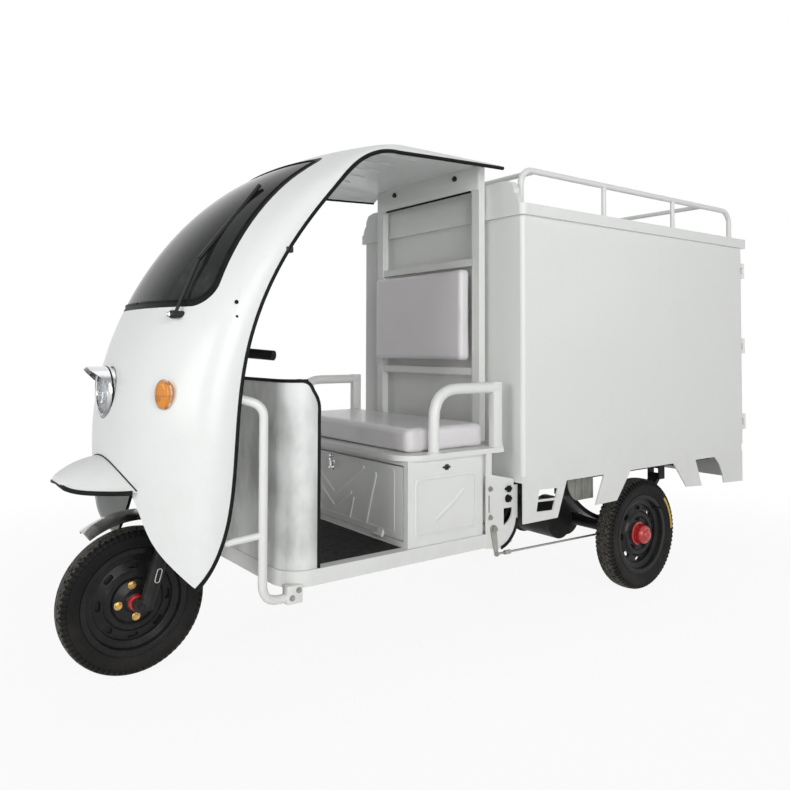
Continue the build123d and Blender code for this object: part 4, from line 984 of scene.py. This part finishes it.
class TRICYCLE_OT_guard_bars(bpy.types.Operator):
    """Bend the step guard bars, with their braces, clamps and bolts"""

    bl_idname = "tricycle.guard_bars"
    bl_label = "Guard bars"

    def execute(self, context):
        for label, side in SIDES:
            node = f"guard_bar_{label}"
            low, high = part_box(node)
            across = outermost(node) - 0.0135
            inner = min(abs(low.x), abs(high.x)) + 0.012
            front, top, foot, upright = low.y + 0.004, high.z - 0.011, low.z + 0.011, low.y + 0.122
            outer = side * across
            bar = bent_bar(
                f"guard_tube_{label}",
                [(side * inner, front, top), (side * inner, front + 0.052, top - 0.001), (outer, upright, top - 0.022),
                 (outer, upright, foot + 0.001), (outer, high.y - 0.012, foot + 0.001)], 0.0135, 0.060, 4)
            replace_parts(bar, node)
            bent_bar(
                f"guard_brace_{label}",
                [(outer, upright, foot + 0.197), (side * (across - 0.012), upright - 0.06, foot + 0.190),
                 (side * (across - 0.0355), low.y + 0.022, foot + 0.180)], 0.0105, 0.02)
            hang(plate(f"guard_clamp_{label}", (outer - 0.017, high.y - 0.052, foot - 0.017),
                       (outer + 0.017, high.y, foot + 0.038), 0.003), "white_paint")
            bolts = [
                nut(f"clamp_bolt_{label}_{k}",
                    (side * (across + 0.0165), high.y - 0.036 + 0.022 * k, foot + 0.002 + 0.020 * k),
                    (side, 0, 0), 0.012, 0.007) for k in range(2)]
            hang(joined(bolts, f"clamp_bolts_{label}"), "zinc_steel", 30)
        return {"FINISHED"}


class TRICYCLE_OT_armrests(bpy.types.Operator):
    """Sleeve the armrests, with their rear posts and front collars, and fold the tray's rear rim"""

    bl_idname = "tricycle.armrests"
    bl_label = "Armrests"

    def execute(self, context):
        low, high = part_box("seat_tray")
        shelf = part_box("seat_cushion")[0].z
        front, top, rear = low.y + 0.136, high.z - 0.016, high.y - 0.024
        for label, side in SIDES:
            across = side * (high.x - 0.019)
            bent_bar(
                f"armrest_{label}",
                [(across, front, shelf), (across, front, top - 0.002), (across, rear + 0.004, top - 0.002)],
                0.0195, 0.105, 4)
            hang(plate(f"armrest_post_{label}", (across - 0.0155, rear - 0.0195, shelf),
                       (across + 0.0155, rear + 0.0205, top + 0.0185), 0.003), "white_paint")
            hang(round_part(
                f"armrest_weld_front_{label}",
                [(0.014, 0.0), (0.0255, 0.0), (0.0245, 0.003), (0.0205, 0.006), (0.014, 0.0065)],
                (across, front, shelf - 0.0005), (0, 0, 1), 28), "white_paint")
        half = high.x - 0.004
        rim = plate("tray_rim", (-half, high.y - 0.008, shelf - 0.001), (half, high.y, shelf + 0.012), 0.002)
        hang(rim, "white_paint")
        return {"FINISHED"}


class TRICYCLE_OT_header(bpy.types.Operator):
    """Fit the panel over the backrest, its seal and its two screws"""

    bl_idname = "tricycle.header"
    bl_label = "Header"

    def execute(self, context):
        low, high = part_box("backrest_frame")
        hang(plate("header_panel", (low.x + 0.002, low.y - 0.004, high.z - 0.094),
                   (high.x - 0.002, low.y + 0.003, high.z - 0.0015), 0.0012), "white_paint")
        trim("header_seal", [(low.x + 0.075, low.y - 0.003, high.z - 0.096), (0, low.y - 0.003, high.z - 0.0965),
                             (high.x - 0.045, low.y - 0.003, high.z - 0.096)], 0.0045)
        screws = [
            round_part(
                f"header_screw_{k}",
                [(0.0003, 0.0), (0.0125, 0.0), (0.0125, 0.0025), (0.009, 0.004), (0.0085, 0.009), (0.006, 0.0115),
                 (0.0003, 0.012)], (across, low.y - 0.004, high.z - 0.030), (0, -1, -0.35), 20)
            for k, across in enumerate((-0.20, 0.20))]
        hang(joined(screws, "header_screws"), "black_plastic")
        return {"FINISHED"}


class TRICYCLE_OT_lamps(bpy.types.Operator):
    """Fit the lamp's reflector and bulb, dark amber rings of painted shadow round the signals' lenses and the tail
    lamps' frames
    """

    bl_idname = "tricycle.lamps"
    bl_label = "Lamps"

    LAMP_PARTS = (
        ("lamp_reflector", "mirror", 48,
         [(0.008, 0.060), (0.012, 0.058), (0.030, 0.047), (0.048, 0.028), (0.059, 0.010), (0.0645, 0.001),
          (0.0655, 0.001), (0.060, 0.012), (0.049, 0.031), (0.030, 0.050), (0.008, 0.063)]),
        ("lamp_bulb", "bulb_glass", 24,
         [(0.0003, 0.016), (0.006, 0.0165), (0.0095, 0.021), (0.0105, 0.028), (0.009, 0.037), (0.008, 0.041),
          (0.0135, 0.042), (0.0135, 0.046), (0.010, 0.047), (0.010, 0.060), (0.0003, 0.060)]),
        ("lamp_shade", "chrome", 28,
         [(0.0003, 0.008), (0.014, 0.0085), (0.0145, 0.0115), (0.0135, 0.0125), (0.0003, 0.0115)]),
    )

    def execute(self, context):
        centre = middle("headlight_lens")
        spot = (centre.x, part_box("headlight_lens")[1].y, centre.z)
        for name, slot, turns, profile in self.LAMP_PARTS:
            hang(round_part(name, profile, spot, (0, 1, 0), turns), slot, 60)
        gasket = place(
            bpy.ops.mesh.primitive_torus_add, "lamp_gasket", rotation=(pi / 2, 0, 0), major_segments=64,
            minor_segments=10, major_radius=0.0795, minor_radius=0.0035,
            location=(0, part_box("cab_shell")[0].y + 0.012, centre.z))
        hang(gasket, "black_rubber", 60)
        for label, side in SIDES:
            way = Vector((side * sin(SIGNAL_TURN), -cos(SIGNAL_TURN), 0))
            sideways = Vector((side * cos(SIGNAL_TURN), sin(SIGNAL_TURN), 0))
            seat = Matrix((sideways, Vector((0, 0, 1)), way)).transposed()
            # a dark amber ring of painted shadow round each signal's lens
            ring = place(
                bpy.ops.mesh.primitive_torus_add, f"signal_shadow_ring_{label}", major_segments=56, minor_segments=10,
                major_radius=1.0, minor_radius=0.08)
            for vertex in ring.data.vertices:
                out = Vector((vertex.co.x, vertex.co.y))
                away = out.normalized()
                slim, rise = (out.length - 1.0) / 0.08 * 0.0032, vertex.co.z / 0.08 * 0.0032
                vertex.co = seat @ Vector((away.x * (0.0285 + slim), away.y * (0.0408 + slim), rise))
            ring.location = middle(f"turn_signal_{label}") + way * 0.003
            hang(ring, "amber_shadow", 60)
        for label, side in SIDES:
            low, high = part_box(f"tail_lamp_{label}")
            hang(plate(f"tail_lamp_frame_{label}", (low.x - 0.005, low.y - 0.001, low.z - 0.005),
                       (high.x + 0.005, low.y + 0.009, high.z + 0.005), 0.003), "black_plastic")
        return {"FINISHED"}


class TRICYCLE_OT_latches(bpy.types.Operator):
    """Fit the seat box's hook latch, its locks and the pressings in its sides"""

    bl_idname = "tricycle.latches"
    bl_label = "Latches"

    def execute(self, context):
        low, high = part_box("seat_box_door")
        front, top = low.y, high.z
        wire = [(-0.008, 0.008, 0.050), (-0.0085, 0.009, 0.030), (-0.006, 0.008, 0.010), (0.006, 0.008, 0.010),
                (0.0085, 0.009, 0.030), (0.008, 0.008, 0.050)]
        parts = [
            plate("latch_plate", (-0.013, front - 0.0025, top - 0.062), (0.013, front + 0.0005, top - 0.022), 0.001),
            plate("latch_lever", (-0.009, front - 0.013, top - 0.058), (0.009, front - 0.002, top - 0.048), 0.002),
            tube("latch_wire", [(x, front - out, top - down) for x, out, down in wire], 0.0018, 2, 4),
            plate("latch_hook", (-0.011, front - 0.010, top - 0.012), (0.011, front + 0.0005, top - 0.004), 0.002),
        ]
        rivet = [(0.0003, 0.0), (0.0030, 0.0), (0.0028, 0.0012), (0.0016, 0.0020), (0.0003, 0.0022)]
        for k, (x, down) in enumerate(((-0.008, 0.057), (0.008, 0.057), (-0.008, 0.027), (0.008, 0.027))):
            parts.append(round_part(f"latch_rivet_{k}", rivet, (x, front - 0.0022, top - down), (0, -1, 0), 14))
        hang(joined(parts, "seat_box_latch"), "chrome", 40, "seat_door")

        low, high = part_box("seat_box")
        y0, y1, z0, z1 = low.y + 0.046, low.y + 0.316, low.z + 0.033, low.z + 0.223
        mid_y, mid_z = (y0 + y1) / 2, (z0 + z1) / 2
        for label, side in SIDES:
            face = side * outermost("seat_box")
            lock = plug(f"box_lock_{label}", (face, low.y + 0.181, high.z - 0.034), side, 0.0125)
            hang(lock, "black_plastic")
            rim = rounded([(face, y, z) for y, z in (
                (mid_y, z0), (y0, z0), (y0, z1), (y1, z1), (y1, z0), (mid_y, z0))], 0.018)
            slope = [(face, y, z) for y, z in (
                (y0 + 0.085, z0 + 0.045), (mid_y + 0.02, mid_z - 0.005), (y1 - 0.050, z1 - 0.050))]
            press = tube(f"box_pressing_{label}", rim[:-1], 0.0042, 2, 1, cyclic=True)
            slant = tube(f"box_slant_{label}", slope, 0.0075, 3, 4)
            for part, seat in ((press, face), (slant, face - side * 0.0024)):
                for vertex in part.data.vertices:
                    vertex.co.x = seat + (vertex.co.x - face) * 0.45
            hang(joined([press, slant], f"box_pressing_{label}"), "white_paint", 60)
        return {"FINISHED"}


class TRICYCLE_OT_bracket_fittings(bpy.types.Operator):
    """Edge the side brackets, and fit their plugs and bolts and the brake levers' pivots"""

    bl_idname = "tricycle.bracket_fittings"
    bl_label = "Bracket fittings"

    def execute(self, context):
        for label, side in SIDES:
            low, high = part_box(f"side_bracket_{label}")
            rod_low, rod_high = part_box(f"brake_rod_{label}")
            face = side * outermost(f"side_bracket_{label}")
            arc = ((0.002, 0.100), (0.012, 0.066), (0.032, 0.036), (0.058, 0.014), (0.086, 0.002))
            trim(f"bracket_edging_{label}", [(face - side * 0.0055, high.y - y, low.z + z) for y, z in arc], 0.0062, 4)
            pivot = Vector((face - side * 0.0005, rod_low.y + 0.014, rod_high.z - 0.014))
            way = (side, 0, 0)
            fixings = [nut(f"lever_pivot_{label}", pivot, way, 0.019, 0.012),
                       nut(f"lever_pin_{label}", pivot + Vector((0, 0.015, -0.092)), way, 0.011, 0.007)]
            hang(joined(fixings, f"lever_fixings_{label}"), "zinc_steel", 30)
            for k, rise in enumerate((0.177, 0.213)):
                spot = (face, high.y - 0.050, low.z + rise)
                hang(plug(f"bracket_plug_{label}_{k}", spot, side, 0.0150), "black_rubber")
            bolts = [nut(f"bracket_bolt_{label}_{k}", (face, high.y - 0.145, low.z + rise), way, 0.013, 0.008)
                     for k, rise in enumerate((0.121, 0.223))]
            hang(joined(bolts, f"bracket_bolts_{label}"), "zinc_steel", 30)
        return {"FINISHED"}


class TRICYCLE_OT_wiper_fittings(bpy.types.Operator):
    """Fit the wiper's pivot, the mirror hole plugs, the trim clips and the windscreen bead"""

    bl_idname = "tricycle.wiper_fittings"
    bl_label = "Wiper fittings"

    def execute(self, context):
        low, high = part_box("wiper")
        foot, way = Vector((high.x - 0.011, low.y - 0.001, low.z + 0.011)), (0.18, -1, 0)
        hang(round_part(
            "wiper_cap",
            [(0.0003, 0.014), (0.006, 0.0135), (0.0095, 0.010), (0.0115, 0.006), (0.0125, 0.0), (0.0125, -0.010),
             (0.0003, -0.010)], foot, way, 24), "black_plastic")
        hang(nut("wiper_nut", foot + Vector((0.002, -0.012, 0)), way, 0.012, 0.006), "chrome", 30)
        cab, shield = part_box("cab_shell")[1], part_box("leg_shield")[0]
        for label, side in SIDES:
            mount = MOUNTS[f"mirror_holes_{label}"]
            hole = Vector(mount["pos_m"]) + Vector((side * 0.001, 0, 0))
            apart = mount["dims"]["spacing_y_mm"] / 2000
            plugs = [
                round_part(
                    f"mirror_plug_{label}_{k}",
                    [(0.0003, 0.0), (0.0062, 0.0), (0.0062, 0.0012), (0.0045, 0.0024), (0.0003, 0.0026)],
                    hole + Vector((0, 0, rise)), (side, -0.05, 0), 20)
                for k, rise in enumerate((-apart, apart))]
            hang(joined(plugs, f"mirror_plugs_{label}"), "black_rubber")
            across = side * (cab.x - 0.00623)
            hang(plate(f"trim_clip_{label}", (across - 0.009, shield.y - 0.001, cab.z - 0.42401),
                       (across + 0.009, shield.y + 0.023, cab.z - 0.40601), 0.003), "black_plastic")

        def seal_edge(spot, normals):
            return all(n.length > 0 for n in normals) and any(n.y < -0.15 or n.z > 0.25 for n in normals) and any(
                n.y > -0.15 or n.z < 0.0 for n in normals)

        inward = Vector((0, 0.001, 0))
        trim("windscreen_bead", [p + inward for p in edge_path("windscreen_seal", seal_edge, 0.02)], 0.0045)
        return {"FINISHED"}


class TRICYCLE_OT_stage(bpy.types.Operator):
    """Lay the floor, hang the lamps and stand the camera"""

    bl_idname = "tricycle.stage"
    bl_label = "Stage"

    LAMPS = (
        ("key", (6.2, -2.2, 2.3), (0, -0.5, 0.8), 3.4, 205.0),
        ("fill", (1.2, -6.4, 2.4), (0, -1.0, 1.0), 2.6, 116.0),
        ("tail", (4.4, 4.2, 2.4), (0, 1.0, 0.9), 2.6, 22.0),
        ("far", (-4.4, 4.4, 2.6), (0, 1.0, 0.9), 2.8, 62.0),
        ("top", (0.0, 0.6, 5.2), (0, 0.6, 1.0), 3.2, 9.0),
    )

    def execute(self, context):
        scene = context.scene
        finish = Finish(bpy.data.materials.new("pale_floor"))
        x, y, _ = finish.axes()
        far = ((x * x + y * y) ** 0.5).span(1.6, 3.4)
        finish.set(colour=finish.grain(2.0, 3.0).blend((0.86, 0.86, 0.86), (0.83, 0.83, 0.83)), rough=0.75)
        finish.show_white("ShaderNodeEmission", 0.91 + 0.09 * far)
        floor = place(bpy.ops.mesh.primitive_circle_add, "floor", vertices=96, radius=14.0, fill_type="NGON")
        floor.data.materials.append(finish.owner)

        studio = Finish(bpy.data.worlds.new("studio"))
        studio.join(studio.shader.inputs["Color"], (0.93, 0.96, 1.0))
        studio.join(studio.shader.inputs["Strength"], 0.20)
        studio.show_white("ShaderNodeBackground", 1.0)
        scene.world = studio.owner

        for name, spot, aim, size, power in self.LAMPS:
            only()
            bpy.ops.object.light_add(type="AREA", location=spot)
            lamp = context.object
            lamp.name = name
            lamp.data.size = size
            lamp.data.energy = power
            lamp.rotation_euler = (Vector(aim) - Vector(spot)).to_track_quat("-Z", "Y").to_euler()

        bpy.ops.object.camera_add()
        camera = context.object
        camera.name = "camera"
        azimuth, lift, roll = radians(53.21), radians(1.66), radians(0.143)
        ahead = Vector((-sin(azimuth) * cos(lift), cos(azimuth) * cos(lift), sin(lift)))
        turn = ahead.to_track_quat("-Z", "Y").to_matrix() @ Matrix.Rotation(roll, 3, "Z")
        camera.matrix_world = Matrix.Translation((2.4124, -2.0564, 1.0315)) @ turn.to_4x4()
        camera.data.sensor_width = 36.0
        camera.data.lens = 33.74
        camera.data.shift_y = -0.0869
        camera.data.clip_end = 200.0
        scene.camera = camera
        scene.view_settings.view_transform = "Standard"
        return {"FINISHED"}


class TRICYCLE_PT_bench(bpy.types.Panel):
    """Lists the dressing steps and their settings"""

    bl_label = "Cargo tricycle"
    bl_idname = "TRICYCLE_PT_bench"
    bl_space_type = "VIEW_3D"
    bl_region_type = "UI"
    bl_category = "Tricycle"

    def draw(self, context):
        column = self.layout.column()
        for group in (context.scene.tricycle_look, context.scene.tricycle_sizes):
            for key in group.__annotations__:
                column.prop(group, key)
        for step in STEPS:
            column.operator(step.bl_idname)


STEPS = (
    TRICYCLE_OT_finishes, TRICYCLE_OT_edgings, TRICYCLE_OT_tyres, TRICYCLE_OT_cushions, TRICYCLE_OT_hubs,
    TRICYCLE_OT_guard_bars, TRICYCLE_OT_armrests, TRICYCLE_OT_header, TRICYCLE_OT_lamps, TRICYCLE_OT_latches,
    TRICYCLE_OT_bracket_fittings, TRICYCLE_OT_wiper_fittings, TRICYCLE_OT_stage,
)
CLASSES = (TricycleLook, TricycleSizes, *STEPS, TRICYCLE_PT_bench)


def register():
    for made in CLASSES:
        bpy.utils.register_class(made)
    bpy.types.Scene.tricycle_look = bpy.props.PointerProperty(type=TricycleLook)
    bpy.types.Scene.tricycle_sizes = bpy.props.PointerProperty(type=TricycleSizes)


def unregister():
    del bpy.types.Scene.tricycle_sizes
    del bpy.types.Scene.tricycle_look
    for made in reversed(CLASSES):
        bpy.utils.unregister_class(made)


def main():
    register()
    for step in STEPS:
        group, name = step.bl_idname.split(".")
        getattr(getattr(bpy.ops, group), name)()


if __name__ == "__main__":
    main()
